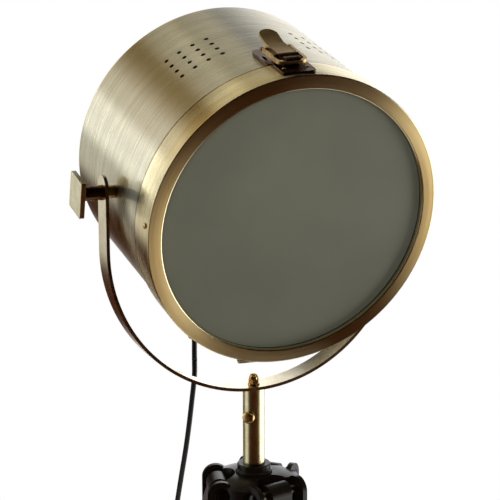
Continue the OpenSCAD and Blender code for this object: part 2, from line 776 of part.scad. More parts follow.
// the tube is cut to the yoke's curve, and its plug carries the stud of the cap nut
module stem_tube() {
    tube_l = hub_top - yoke_bottom;
    stud_top = -yoke_bottom + strip_t + washer_t + 6;
    turned = [0, 0, stem_screw_turn];
    color(polished_brass) at_pivot() difference() {
        union() {
            difference() {
                translate([0, 0, -hub_top]) cylinder(r = stem_r, h = tube_l + 2);
                translate([0, 0, -hub_top - 1]) cylinder(r = stem_in, h = tube_l + 1 - stem_plug);
                translate([0, 0, -yoke_drop]) rotate([90, 0, 0])
                    cylinder(r = yoke_r + seat_gap, h = 60, center = true, $fn = 180);
            }
            translate([0, 0, -yoke_bottom - 4]) cylinder(r = 3, h = stud_top + yoke_bottom + 4);
        }
        translate([0, 0, -stem_screw_drop]) rotate(turned) rotate([90, 0, 0]) cylinder(r = 3.2, h = 20);
    }
}

module yoke_washer()
    color(polished_brass) at_pivot() translate([0, 0, -yoke_bottom + strip_t + 0.12]) difference() {
        cylinder(r = 6.2, h = washer_t);
        translate([0, 0, -1]) cylinder(r = 3.2, h = washer_t + 2);
    }

module yoke_cap_nut() {
    seat = -yoke_bottom + strip_t + 0.12 + washer_t;
    hex_h = 4.4;
    dome_r = 4.9;
    color(polished_brass) at_pivot() translate([0, 0, seat]) difference() {
        union() {
            cylinder(r = 5.8, h = hex_h, $fn = 6);
            translate([0, 0, hex_h]) cylinder(r = dome_r, h = 1);
            translate([0, 0, hex_h + 1]) intersection() {
                sphere(r = dome_r);
                translate([-10, -10, 0]) cube([20, 20, 20]);
            }
        }
        translate([0, 0, -1]) cylinder(r = 3 + fit_gap, h = 7.5);
    }
}

module knob_washers()
    color(dark_brass) at_pivot() for (side = [0, 180]) rotate([0, 0, side])
        rod_x(knob_shaft_r + 0.6, yoke_r, yoke_r + knob_washer_t, stud_r + fit_gap);

// a flat plate on a round shaft, threaded onto the pivot stud
module knob() {
    shaft_at = yoke_r + knob_washer_t;
    difference() {
        union() {
            rod_x(knob_shaft_r, shaft_at, plate_at);
            translate([plate_at, 0, 0]) rotate([knob_turn, 0, 0]) rotate([90, 0, 90])
                linear_extrude(knob_plate_t) round_rect([knob_plate_w, knob_plate_h], 1.5);
        }
        rod_x(stud_r + slip_gap, shaft_at - 1, plate_at - 4);
    }
}

module knob_right() color(brass) at_pivot() knob();
module knob_left() color(brass) at_pivot() mirror([1, 0, 0]) knob();

module stem_screw() {
    shank_r = 2.9;
    tip = spigot_r + 0.2;
    head_l = 6;
    color(warm_brass) at_pivot() translate([0, 0, -stem_screw_drop]) rotate([0, 0, stem_screw_turn])
        rotate([90, 0, 0]) {
            translate([0, 0, tip]) cylinder(r = shank_r, h = stem_r + 0.4 - tip);
            translate([0, 0, stem_r + 0.3]) rotate_extrude() polygon([
                [0, 0], [stem_screw_r - 0.8, 0], [stem_screw_r, 0.8], [stem_screw_r, head_l - 1.6],
                [stem_screw_r - 0.8, head_l - 0.6], [stem_screw_r - 2.6, head_l], [0, head_l]]);
        }
}

// ---------------------------------------------------------------- hub

module hub() {
    bore = spigot_r + 0.1;
    shoulder = collar_r + 2.4;
    dome = [for (i = [0:8]) let (u = i / 8) [shoulder + (hub_r - shoulder) * u, -hub_fall * u * u]];
    color(black) difference() {
        union() {
            at_slot(0) rotate_extrude() polygon(concat(
                [[bore, 0]], dome, [[hub_r, -hub_h + 5], [hub_r - 4, -hub_h], [bore, -hub_h]]));
            for (i = [0:2], side = [-1, 1]) at_slot(i)
                translate([side * (slot_half + ear_t / 2), -bolt_out, -bolt_drop]) along_x(ear_t + 1) {
                    circle(ear_r);
                    translate([bolt_drop - hub_h + 6, -ear_r]) square([hub_h - bolt_drop - 6, ear_r + 9]);
                }
        }
        for (i = [0:2]) at_slot(i) {
            translate([0, -slot_end_out, -hub_h - 1]) cylinder(r = slot_end_r, h = hub_h + 2);
            translate([-slot_half, -2 * hub_r, -hub_h - 1])
                cube([2 * slot_half, 2 * hub_r - bolt_out + 7, hub_h + 2]);
            translate([0, -bolt_out, -bolt_drop])
                rod_x(bolt_r + fit_gap, -slot_half - ear_t - 3, slot_half + ear_t + 3);
            // a flat for each bolt's head and nut
            for (side = [0, 180]) translate([0, -bolt_out, -bolt_drop]) rotate([0, 0, side])
                rod_x(8.5, bolt_seat, bolt_seat + 9);
        }
    }
}

module hub_collar()
    color(black) at_slot(0) rotate_extrude() polygon([
        [stem_r + slip_gap, 0], [collar_r + 1.9, 0], [collar_r + 1.9, 2.2], [collar_r, 3],
        [collar_r, collar_h - 0.8], [collar_r - 0.8, collar_h], [stem_r + slip_gap, collar_h]]);

module spigot()
    color("#8f8a7c") at_slot(0) translate([0, 0, -30]) {
        cylinder(r = spigot_r, h = 30 + spigot_up - 1);
        cylinder(r = spigot_r - 1, h = 30 + spigot_up);
    }

module leg_bolts()
    color("#3a3835") for (i = [0:2]) at_slot(i) translate([0, -bolt_out, -bolt_drop]) {
        rod_x(bolt_r, -bolt_seat, bolt_seat + 6.5);
        translate([-bolt_seat, 0, 0]) rotate([0, -90, 0]) rotate_extrude() polygon(concat(
            [[0, 0]], [for (i = [0:5]) [6.5 * cos(18 * i), 4 * sin(18 * i)]]));
    }

module leg_nuts()
    color("#3a3835") for (i = [0:2]) at_slot(i)
        translate([bolt_seat, -bolt_out, -bolt_drop]) rotate([0, 90, 0]) difference() {
            cylinder(r = 7.4, h = 5.5, $fn = 6);
            translate([0, 0, -1]) cylinder(r = bolt_r + 0.1, h = 8);
        }

module leg_bushes()
    color("#3a3835") for (i = [0:2], side = [0, 180]) at_slot(i)
        translate([0, -bolt_out, -bolt_drop]) rotate([0, 0, side])
        rod_x(5.5, eye_w / 2 + 0.1, slot_half - 0.1, bolt_r + fit_gap);

// ---------------------------------------------------------------- legs

// an eye on the bolt, a neck and a block with a socket for each side rail
module leg_knuckle(i) {
    half = rail_to + fit_gap + block_wall;
    deep = rail_d / 2 + fit_gap + block_wall;
    color(black) at_leg(i) difference() {
        union() {
            rod_x(eye_r, -eye_w / 2, eye_w / 2);
            translate([-eye_w / 2, -10, -neck_h]) cube([eye_w, 20, neck_h]);
            translate([0, 0, -block_top - block_h]) linear_extrude(block_h)
                round_rect([2 * half, 2 * deep], 3);
        }
        rod_x(bolt_r + fit_gap, -eye_w, eye_w);
        for (side = [-1, 1])
            translate([side * (rail_from + rail_to) / 2, 0, -rail_top - block_h / 2])
                cube([rail_t + 2 * fit_gap, rail_d + 2 * fit_gap, block_h], center = true);
    }
}

module leg_side_rails(i)
    color(wood) at_leg(i) for (side = [-1, 1])
        translate([side * (rail_from + rail_to) / 2, 0, -rail_top - rail_l / 2])
            cube([rail_t, rail_d, rail_l], center = true);

// a band around all three rails, with a boss for the knob's screw
module leg_clamp(i) {
    boss_l = 6;
    color(black) at_leg(i) difference() {
        union() {
            translate([0, 0, -rail_bottom]) linear_extrude(clamp_h)
                round_rect([2 * clamp_half, 2 * clamp_deep], 4);
            translate([0, -clamp_deep + 2, -clamp_mid]) rotate([90, 0, 0]) cylinder(r = 9, h = boss_l + 2);
        }
        translate([0, 0, -clamp_mid])
            cube([2 * (rail_to + fit_gap), rail_d + 2 * fit_gap, clamp_h + 2], center = true);
        translate([0, 0, -clamp_mid]) rotate([90, 0, 0]) cylinder(r = 4.3, h = 60);
    }
}

// the knob's screw presses on the middle rail
module leg_clamp_knob(i) {
    lobes = 6;
    seat = clamp_deep + 6 + slip_gap;
    color(polished_brass) at_leg(i) translate([0, 0, -clamp_mid]) rotate([90, 0, 0]) {
        translate([0, 0, slide_d / 2 + 0.2]) cylinder(r = 4, h = seat + 1 - slide_d / 2 - 0.2);
        difference() {
            translate([0, 0, seat]) cylinder(r = clamp_knob_r, h = 12);
            for (k = [0:lobes - 1]) rotate([0, 0, 360 / lobes * k])
                translate([clamp_knob_r + 2.6, 0, seat - 1]) cylinder(r = 5, h = 14, $fn = 32);
        }
    }
}

module leg_middle_rail(i)
    color(wood) at_leg(i) translate([-slide_t / 2, -slide_d / 2, -slide_bottom])
        cube([slide_t, slide_d, slide_bottom - slide_top]);

// a rubber boot around the middle rail's end, cut flat where it meets the floor
module leg_foot(i) {
    color("#151413") difference() {
        intersection() {
            at_leg(i) translate([0, 0, -leg_l - 10]) cylinder(r = foot_r, h = foot_h + 10);
            translate([-2 * foot_out, -2 * foot_out, 0]) cube([4 * foot_out, 4 * foot_out, 4 * foot_h]);
        }
        at_leg(i) translate([-slide_t / 2 - 0.1, -slide_d / 2 - 0.1, -slide_bottom])
            cube([slide_t + 0.2, slide_d + 0.2, 4 * foot_h]);
    }
}

module leg_1_knuckle() leg_knuckle(0);
module leg_1_side_rails() leg_side_rails(0);
module leg_1_clamp() leg_clamp(0);
module leg_1_clamp_knob() leg_clamp_knob(0);
module leg_1_middle_rail() leg_middle_rail(0);
module leg_1_foot() leg_foot(0);
module leg_2_knuckle() leg_knuckle(1);
module leg_2_side_rails() leg_side_rails(1);
module leg_2_clamp() leg_clamp(1);
module leg_2_clamp_knob() leg_clamp_knob(1);
module leg_2_middle_rail() leg_middle_rail(1);
module leg_2_foot() leg_foot(1);
module leg_3_knuckle() leg_knuckle(2);
module leg_3_side_rails() leg_side_rails(2);
module leg_3_clamp() leg_clamp(2);
module leg_3_clamp_knob() leg_clamp_knob(2);
module leg_3_middle_rail() leg_middle_rail(2);
module leg_3_foot() leg_foot(2);

// ---------------------------------------------------------------- cord

module on_floor() translate([stem_x, stem_y, 0]) children();

upper_path = smooth(upper_route, 2);
lower_path = smooth(lower_route, 2);

// the coil winds in on the floor, climbs in half a turn, and winds out on top
coil_n = round(coil_turns * coil_steps);
climb_n = coil_steps / 2;
climb_dip = coil_pitch / (2 * PI);
function climb(i) = 180 * max(0, min(1, (i - coil_n) / climb_n));
function coil_r_at(i) = coil_in_r - climb_dip * sin(climb(i))
    + coil_pitch * max(coil_n - i, i - coil_n - climb_n, 0) / coil_steps;
function coil_z_at(i) = cord_z + coil_pitch * (1 - cos(climb(i))) / 2;
coil_loops = [for (i = [0:2 * coil_n + climb_n]) let (a = 180 + 360 * i / coil_steps)
    [coil_at[0] + coil_r_at(i) * cos(a), coil_at[1] + coil_r_at(i) * sin(a), coil_z_at(i)]];
coil_end = coil_loops[len(coil_loops) - 1];
coil_path = concat(smooth(coil_lead, 2), coil_loops,
    [[coil_end[0], coil_end[1] + 12, coil_end[2]], [coil_end[0], plug_start - cord_d, coil_end[2]],
     [coil_end[0], plug_start - cord_play, coil_end[2]]]);

// the least gap between turns, over all pairs of points more than half a turn apart
coil_least = min([for (i = [0:len(coil_loops) - 1], k = [i + 12:1:len(coil_loops) - 1])
    norm(coil_loops[i] - coil_loops[k])]) - cord_d;
echo(coil_gap_to_itself = coil_least);
echo(cord_lengths = [path_length(upper_path), path_length(lower_path), path_length(coil_path)]);
echo(stem = [stem_x, stem_y], leg = [leg_l, foot_out, bolt_h]);

module cord_upper() color(black) on_floor() tube(upper_path, cord_d / 2, 8);
module cord_lower() color(black) on_floor() tube(lower_path, cord_d / 2, 8);
module cord_coil() color(black) on_floor() tube(coil_path, cord_d / 2, 6);

module foot_switch() {
    wall = 2;
    color(black) on_floor() translate([switch_at[0], switch_at[1], 0]) difference() {
        union() {
            linear_extrude(switch_h - 4) round_rect([switch_w, switch_l], 8);
            translate([0, 0, switch_h - 5]) linear_extrude(5) round_rect([switch_w - 4, switch_l - 4], 7);
        }
        translate([0, 0, switch_h - button_travel - 3]) cylinder(r = button_r + slip_gap, h = 20);
        translate([0, 0, wall]) cylinder(r = 4, h = switch_h);
    }
}

module switch_button()
    color("#3a3835") on_floor() translate([switch_at[0], switch_at[1], switch_h - 2.8]) {
        cylinder(r = button_r, h = 5.4);
        translate([0, 0, 5.4]) cylinder(r = button_r - 1, h = 1);
    }

module plug() {
    pin_r = 2.4;
    pin_l = 19;
    color(black) on_floor() translate([coil_end[0], plug_start, 0]) {
        translate([0, plug_l / 2, 0]) linear_extrude(plug_h) round_rect([plug_w, plug_l], 7);
        for (side = [-1, 1]) translate([side * 9.5, plug_l - 1, plug_h / 2]) rotate([-90, 0, 0])
            cylinder(r = pin_r, h = pin_l + 1, $fn = 32);
    }
}

// ---------------------------------------------------------------- nodes

drum_shell();
rear_cap();
reflector();
lampholder_bracket();
lampholder();
bulb();
terminal_block();
cable_gland();
pivot_studs();
pivot_spacers();
drum_hinge_leaf();
hinge_and_latch_pins();
latch_base();
latch_lever();
latch_loop();
front_ring();
ring_hinge_leaf();
front_glass();
glass_seal();
glass_clips();
ring_screws();
latch_catch();
yoke_strip();
stem_tube();
yoke_cap_nut();
yoke_washer();
knob_washers();
knob_left();
knob_right();
stem_screw();
hub();
hub_collar();
spigot();
leg_bolts();
leg_nuts();
leg_bushes();
leg_1_knuckle();
leg_1_side_rails();
leg_1_clamp();
leg_1_clamp_knob();
leg_1_middle_rail();
leg_1_foot();
leg_2_knuckle();
leg_2_side_rails();
leg_2_clamp();
leg_2_clamp_knob();
leg_2_middle_rail();
leg_2_foot();
leg_3_knuckle();
leg_3_side_rails();
leg_3_clamp();
leg_3_clamp_knob();
leg_3_middle_rail();
leg_3_foot();
cord_upper();
cord_lower();
foot_switch();
switch_button();
cord_coil();
plug();
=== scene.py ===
import sys

import json
import logging
import math
from dataclasses import dataclass, field
from enum import Enum
from typing import Callable, Dict, List, Optional, Sequence, Tuple

import bmesh
import bpy
from mathutils import Matrix, Vector

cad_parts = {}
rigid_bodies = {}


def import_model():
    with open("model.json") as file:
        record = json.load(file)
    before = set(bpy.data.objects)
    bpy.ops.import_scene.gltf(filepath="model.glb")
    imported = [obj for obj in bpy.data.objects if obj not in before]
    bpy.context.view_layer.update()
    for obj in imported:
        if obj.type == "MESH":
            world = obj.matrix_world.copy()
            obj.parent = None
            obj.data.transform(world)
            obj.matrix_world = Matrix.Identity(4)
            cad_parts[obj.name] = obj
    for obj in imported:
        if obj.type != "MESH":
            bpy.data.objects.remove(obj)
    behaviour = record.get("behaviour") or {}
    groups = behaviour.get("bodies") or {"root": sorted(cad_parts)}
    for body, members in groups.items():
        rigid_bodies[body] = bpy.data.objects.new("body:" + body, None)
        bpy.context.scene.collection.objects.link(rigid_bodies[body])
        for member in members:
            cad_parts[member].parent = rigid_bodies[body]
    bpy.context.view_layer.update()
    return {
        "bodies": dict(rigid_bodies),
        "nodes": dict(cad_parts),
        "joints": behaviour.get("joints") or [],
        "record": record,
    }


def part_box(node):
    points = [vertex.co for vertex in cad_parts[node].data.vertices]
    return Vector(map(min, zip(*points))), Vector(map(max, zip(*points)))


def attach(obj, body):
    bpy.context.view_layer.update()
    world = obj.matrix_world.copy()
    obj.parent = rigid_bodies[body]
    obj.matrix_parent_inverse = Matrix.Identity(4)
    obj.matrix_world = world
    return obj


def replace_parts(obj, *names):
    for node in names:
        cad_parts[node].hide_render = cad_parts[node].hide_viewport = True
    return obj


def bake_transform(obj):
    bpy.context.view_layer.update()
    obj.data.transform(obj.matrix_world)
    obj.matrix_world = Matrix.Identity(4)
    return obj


LOG = logging.getLogger("spotlight_lamp")
MM = 0.001
RIGHT = Vector((1, 0, 0))  # the lamp's side on the photograph's right, square to the head's axis
ON_AXIS = 0.001 * MM  # a radius under this lies on the axis

Colour = Tuple[float, float, float, float]
Link = Tuple[bpy.types.Node, object]  # a node and its output's name or number


# ---------------------------------------------------------------- helpers

def linear(code: str) -> Colour:
    """Turns an sRGB hex colour into linear values.

    Args:
        code: the colour, such as "#b5b09a".

    Returns:
        Red, green, blue and an alpha of 1.
    """
    parts = [int(code[i:i + 2], 16) / 255 for i in (1, 3, 5)]
    low = [c / 12.92 if c <= 0.04045 else ((c + 0.055) / 1.055) ** 2.4 for c in parts]
    return (low[0], low[1], low[2], 1.0)


def add(tree: bpy.types.NodeTree, kind: str, settings: Optional[dict] = None,
        **sockets: object) -> bpy.types.Node:
    """Adds one node, with its settings, its socket values and its links.

    Args:
        tree: the node tree.
        kind: the node's type name.
        settings: the node's own properties, or the (place, colour) stops of a colour ramp.
        sockets: input name or _index to a value, or to (node, output) for a link.

    Returns:
        The new node.
    """
    node = tree.nodes.new(kind)
    for key, value in (settings or {}).items():
        if key != "stops":
            setattr(node, key, value)
            continue
        for element, (place, colour) in zip(node.color_ramp.elements, value):
            element.position, element.color = place, colour
    for key, value in sockets.items():
        socket = node.inputs[int(key[1:])] if key[0] == "_" else node.inputs[key.replace("__", " ")]
        if isinstance(value, tuple) and len(value) == 2 and isinstance(value[0], bpy.types.Node):
            tree.links.new(value[0].outputs[value[1]], socket)
        else:
            socket.default_value = value
    return node


def blank_material(name: str) -> Tuple[bpy.types.Material, bpy.types.NodeTree]:
    """Makes a material with an empty node tree.

    Args:
        name: its name.

    Returns:
        The material and its tree.
    """
    material = bpy.data.materials.new(name)
    material.use_nodes = True
    material.node_tree.nodes.clear()
    return material, material.node_tree


def grey(value: float) -> Colour:
    """Returns a grey of the given level."""
    return (value, value, value, 1.0)


# ---------------------------------------------------------------- frame

@dataclass(frozen=True)
class HeadFrame:
    """Where the head is: its pivot, and the directions of its own axis.

    The head's axis runs to the front, and up is square to it.
    """

    stem: Vector
    pivot_height: float = 1330.0 * MM
    axis_drop: float = 2.6 * MM  # how far the head's axis runs under the pivots
    tilt: float = math.radians(11.25)  # how far the head looks down

    @property
    def front(self) -> Vector:
        """The direction in which the head faces."""
        return Vector((0, -math.cos(self.tilt), -math.sin(self.tilt)))

    @property
    def up(self) -> Vector:
        """The direction square to the head's axis, to the top."""
        return Vector((0, -math.sin(self.tilt), math.cos(self.tilt)))

    @property
    def centre(self) -> Vector:
        """The point of the head's axis that is nearest to the pivot."""
        return Vector((self.stem.x, self.stem.y, self.pivot_height)) - self.up * self.axis_drop

    def along(self, place: Vector) -> float:
        """Returns how far in front of the pivots a point is, along the head's axis."""
        return (Vector(place) - self.centre).dot(self.front)

    def outward(self, turn: float) -> Vector:
        """Returns the direction away from the axis, turned from the top to the photograph's left."""
        return self.up * math.cos(turn) - RIGHT * math.sin(turn)

    def around(self, turn: float) -> Vector:
        """Returns the direction round the axis at that turn, to the photograph's right."""
        return RIGHT * math.cos(turn) + self.up * math.sin(turn)

    def matrix(self) -> Matrix:
        """Returns the turn and move from (side, up, front) to the row's frame."""
        turn = Matrix((Vector((1, 0, 0)), self.up, self.front)).transposed()
        return Matrix.Translation(self.centre) @ turn.to_4x4()

    def point(self, side: float, up: float, front: float) -> Vector:
        """Returns a point given along the head's axis, in metres."""
        return self.centre + Vector((side, 0, 0)) + self.up * up + self.front * front


# ---------------------------------------------------------------- meshes

class Shading(Enum):
    """How a piece's faces are shaded."""

    FLAT = "flat"
    BY_ANGLE = "by angle"
    ROUND = "round"


def make_object(name: str, bm: bmesh.types.BMesh, material: bpy.types.Material,
                shading: Shading = Shading.BY_ANGLE, angle: float = 32.0) -> bpy.types.Object:
    """Turns mesh data into an object at the origin.

    Args:
        name: the piece's name.
        bm: the mesh data, which is freed.
        material: its finish.
        shading: flat, round, or round up to an angle.
        angle: the angle in degrees above which an edge stays sharp.

    Returns:
        The new object.
    """
    for face in bm.faces:
        face.smooth = shading is not Shading.FLAT
    if shading is Shading.BY_ANGLE:
        for edge in bm.edges:
            edge.smooth = len(edge.link_faces) == 2 and edge.calc_face_angle(0) < math.radians(angle)
    mesh = bpy.data.meshes.new(name)
    bm.to_mesh(mesh)
    bm.free()
    mesh.materials.append(material)
    obj = bpy.data.objects.new(name, mesh)
    bpy.context.scene.collection.objects.link(obj)
    return obj


def lathe(profile: Sequence[Tuple[float, float]], steps: int, place: Matrix) -> bmesh.types.BMesh:
    """Turns a closed outline about the third axis.

    Args:
        profile: (radius, height) points in order round the outline, in metres.
        steps: the number of steps round the axis.
        place: where the axis goes in the row's frame.

    Returns:
        The closed mesh. Points on the axis are merged to one.
    """
    bm = bmesh.new()
    rings: List[List[bmesh.types.BMVert]] = []
    for radius, height in profile:
        if radius < ON_AXIS:
            rings.append([bm.verts.new((0, 0, height))] * steps)
        else:
            rings.append([bm.verts.new((radius * math.cos(2 * math.pi * k / steps),
                                        radius * math.sin(2 * math.pi * k / steps), height))
                          for k in range(steps)])
    for i, ring in enumerate(rings):
        nxt = rings[(i + 1) % len(rings)]
        for k in range(steps):
            corners = [ring[k], ring[(k + 1) % steps], nxt[(k + 1) % steps], nxt[k]]
            unique = list(dict.fromkeys(corners))
            if len(unique) > 2:
                bm.faces.new(unique)
    bmesh.ops.recalc_face_normals(bm, faces=bm.faces)
    bmesh.ops.transform(bm, matrix=place, verts=bm.verts)
    return bm


def rounded(points: Sequence[Tuple[float, float]], radius: float,
            steps: int = 3) -> List[Tuple[float, float]]:
    """Rounds each corner of a closed outline.

    Args:
        points: the outline's corners, in order.
        radius: the corner radius, kept to under half of the shorter side.
        steps: the number of steps round each corner.

    Returns:
        The rounded outline.
    """
    result: List[Tuple[float, float]] = []
    count = len(points)
    for i in range(count):
        here = Vector(points[i])
        before, after = Vector(points[i - 1]) - here, Vector(points[(i + 1) % count]) - here
        cut = min(radius, before.length * 0.45, after.length * 0.45)
        start, end = here + before.normalized() * cut, here + after.normalized() * cut
        if points[i][0] < ON_AXIS:
            result.append(points[i])
            continue
        for k in range(steps + 1):
            t = k / steps
            p = start * (1 - t) ** 2 + here * 2 * t * (1 - t) + end * t ** 2
            result.append((p.x, p.y))
    return result


def smooth_route(points: Sequence[Tuple[float, float, float]], steps: int) -> List[Vector]:
    """Lays a smooth line through points.

    Args:
        points: the points.
        steps: steps between each two of them.

    Returns:
        The line's points.
    """
    p = [Vector(q) for q in points]
    line: List[Vector] = []
    for i in range(len(p) - 1):
        a, b, c, d = p[max(i - 1, 0)], p[i], p[i + 1], p[min(i + 2, len(p) - 1)]
        for k in range(steps):
            t = k / steps
            line.append(0.5 * (2 * b + (c - a) * t + (2 * a - 5 * b + 4 * c - d) * t * t
                               + (3 * b - a - 3 * c + d) * t ** 3))
    line.append(p[-1])
    return line


def tube(line: Sequence[Vector], radius: float, sides: int) -> bmesh.types.BMesh:
    """Sweeps a round section along a line, with closed ends.

    Args:
        line: the line's points, in metres.
        radius: the section's radius.
        sides: the number of sides.

    Returns:
        The closed tube.
    """
    bm = bmesh.new()
    normal = Vector((1, 0, 0.02))  # a little off the right, so that no line starts along it
    rings = []
    for i, p in enumerate(line):
        tangent = (line[min(i + 1, len(line) - 1)] - line[max(i - 1, 0)]).normalized()
        normal = (normal - tangent * normal.dot(tangent)).normalized()
        side = tangent.cross(normal)
        rings.append([bm.verts.new(p + radius * (math.cos(a) * normal + math.sin(a) * side))
                      for a in (2 * math.pi * (k + 0.5) / sides for k in range(sides))])
    for ring, nxt in zip(rings, rings[1:]):
        for k in range(sides):
            bm.faces.new([ring[k], ring[(k + 1) % sides], nxt[(k + 1) % sides], nxt[k]])
    bm.faces.new(rings[0])
    bm.faces.new(rings[-1])
    bmesh.ops.recalc_face_normals(bm, faces=bm.faces)
    return bm


def add_bevel(obj: bpy.types.Object, width: float, segments: int = 2, angle: float = 32.0) -> None:
    """Rounds an object's sharp edges a little, as real edges are.

    Args:
        obj: the object.
        width: the bevel's width in metres.
        segments: its steps.
        angle: the least edge angle in degrees.
    """
    bevel = obj.modifiers.new("edges", "BEVEL")
    bevel.width, bevel.segments = width, segments
    bevel.limit_method, bevel.angle_limit = "ANGLE", math.radians(angle)
    bevel.harden_normals = True
    bevel.miter_outer = "MITER_ARC"


def plain_mesh(obj: bpy.types.Object) -> None:
    """Turns an object with modifiers into a plain mesh without them."""
    graph = bpy.context.evaluated_depsgraph_get()
    mesh = bpy.data.meshes.new_from_object(obj.evaluated_get(graph))
    old, obj.data = obj.data, mesh
    mesh.name = obj.name
    obj.modifiers.clear()
    bpy.data.meshes.remove(old)


# ---------------------------------------------------------------- finishes

class Grain(Enum):
    """What the brush marks of a metal go round or along."""

    HEAD = "round the head's axis"
    STEM = "round the stem"
    ALONG = "along a strip"
    NONE = "no direction"


@dataclass(frozen=True)
class Metal:
    """Metal sheet or bar, brushed, polished or darkened, under clear lacquer.

    Brush marks stretch the highlight across them. The tone changes in long streaks along the marks,
    where the brush left more or less of the patina.
    """

    name: str
    colour: str
    patina: str
    roughness: float
    brushing: float = 0.25
    anisotropy: float = 0.0
    grain: Grain = Grain.NONE
    mark_mm: float = 1.0  # real brush marks are finer, and wouldn't show at this size

    def build(self, head: HeadFrame) -> bpy.types.Material:
        """Makes the material.

        Args:
            head: the head's frame, for marks that go round its axis.

        Returns:
            The material.
        """
        material, tree = blank_material(self.name)
        place = add(tree, "ShaderNodeTexCoord")
        if self.grain in (Grain.HEAD, Grain.STEM):
            marks, streaks, circle = self._round_marks(tree, (place, "Object"), head)
        else:
            marks, streaks = self._plain_marks(tree, (place, "Object"))
            circle = None
        tint = add(tree, "ShaderNodeValToRGB", {"stops": [(0.36, linear(self.patina)),
                                                          (0.62, linear(self.colour))]}, Fac=(streaks, "Fac"))
        fine = add(tree, "ShaderNodeValToRGB", {"stops": [(0.3, grey(1.0 - self.brushing)),
                                                          (0.68, grey(1.0))]}, Fac=(marks, "Fac"))
        mixed = add(tree, "ShaderNodeMix", {"data_type": "RGBA", "blend_type": "MULTIPLY"},
                    _0=1.0, _6=(tint, "Color"), _7=(fine, "Color"))
        rough = add(tree, "ShaderNodeMapRange", Value=(marks, "Fac"))
        rough.inputs["From Min"].default_value, rough.inputs["From Max"].default_value = 0.3, 0.7
        rough.inputs["To Min"].default_value = min(1.0, self.roughness * 1.12)
        rough.inputs["To Max"].default_value = self.roughness * 0.9
        bump = add(tree, "ShaderNodeBump", Strength=0.06 * self.brushing, Distance=0.0003,
                   Height=(marks, "Fac"))
        shader = add(tree, "ShaderNodeBsdfPrincipled", Base__Color=(mixed, 2), Roughness=(rough, "Result"),
                     Normal=(bump, "Normal"), Metallic=1.0)
        if circle is not None and self.anisotropy:
            # the tangent runs along the marks, and a quarter turn stretches the highlight across them
            shader.inputs["Anisotropic"].default_value = self.anisotropy
            shader.inputs["Anisotropic Rotation"].default_value = 0.25
            tree.links.new(circle.outputs["Vector"], shader.inputs["Tangent"])
        add(tree, "ShaderNodeOutputMaterial", Surface=(shader, "BSDF"))
        return material

    def _round_marks(self, tree: bpy.types.NodeTree, place: Link,
                     head: HeadFrame) -> Tuple[bpy.types.Node, bpy.types.Node, bpy.types.Node]:
        """Adds brush marks that go round an axis, on walls and on faces square to it alike.

        Args:
            tree: the material's tree.
            place: the object coordinates.
            head: the head's frame.

        Returns:
            The fine marks, the broad streaks, and the direction round the axis.
        """
        axis = head.front if self.grain is Grain.HEAD else Vector((0, 0, 1))
        centre = head.centre if self.grain is Grain.HEAD else head.stem
        upward = axis.cross(Vector((1, 0, 0)))
        local = add(tree, "ShaderNodeVectorMath", {"operation": "SUBTRACT"}, _0=place, _1=tuple(centre))
        along, side, high = (
            add(tree, "ShaderNodeVectorMath", {"operation": "DOT_PRODUCT"}, _0=(local, "Vector"),
                _1=tuple(way))
            for way in (axis, Vector((1, 0, 0)), upward))
        flat = add(tree, "ShaderNodeCombineXYZ", X=(side, "Value"), Y=(high, "Value"))
        radius = add(tree, "ShaderNodeVectorMath", {"operation": "LENGTH"}, _0=(flat, "Vector"))
        compass = add(tree, "ShaderNodeVectorMath", {"operation": "NORMALIZE"}, _0=(flat, "Vector"))
        parts = add(tree, "ShaderNodeSeparateXYZ", Vector=(compass, "Vector"))
        # on a wall the place along the axis tells the marks apart, and on a face the radius does
        line = add(tree, "ShaderNodeMath", {"operation": "ADD"}, _0=(along, "Value"), _1=(radius, "Value"))
        # the fine marks, and the streaks, which are twelve times as wide
        noises = []
        for width, turns, detail in ((self.mark_mm * MM, 1.6, 4.0), (12.0 * self.mark_mm * MM, 1.2, 2.0)):
            count = add(tree, "ShaderNodeMath", {"operation": "DIVIDE"}, _0=(line, "Value"), _1=width)
            around = [add(tree, "ShaderNodeMath", {"operation": "MULTIPLY"}, _0=(parts, way), _1=turns)
                      for way in "XY"]
            vector = add(tree, "ShaderNodeCombineXYZ", X=(count, "Value"), Y=(around[0], "Value"),
                         Z=(around[1], "Value"))
            noises.append(add(tree, "ShaderNodeTexNoise", _0=(vector, "Vector"), Scale=1.0, Detail=detail,
                              Roughness=0.6))
        circle = add(tree, "ShaderNodeVectorMath", {"operation": "CROSS_PRODUCT"}, _0=(local, "Vector"),
                     _1=tuple(axis))
        turned = add(tree, "ShaderNodeVectorTransform",
                     {"vector_type": "VECTOR", "convert_from": "OBJECT", "convert_to": "WORLD"},
                     Vector=(circle, "Vector"))
        return noises[0], noises[1], turned

    def _plain_marks(self, tree: bpy.types.NodeTree, place: Link) -> Tuple[bpy.types.Node, bpy.types.Node]:
        """Adds marks that run along a strip, or in no direction.

        Args:
            tree: the material's tree.
            place: the object coordinates.

        Returns:
            The fine marks and the broad changes of tone.
        """
        # along a strip a mark is 25 times as long as it is wide
        across = 1.0 / (self.mark_mm * MM)
        stretch = (across, across * 0.04, across) if self.grain is Grain.ALONG else (across * 0.5,) * 3
        moved = add(tree, "ShaderNodeMapping", Vector=place)
        moved.inputs["Scale"].default_value = stretch
        marks = add(tree, "ShaderNodeTexNoise", _0=(moved, "Vector"), Scale=1.0, Detail=4.0, Roughness=0.65)
        cloud = add(tree, "ShaderNodeTexNoise", _0=place, Scale=60.0, Detail=3.0, Roughness=0.5)
        return marks, cloud


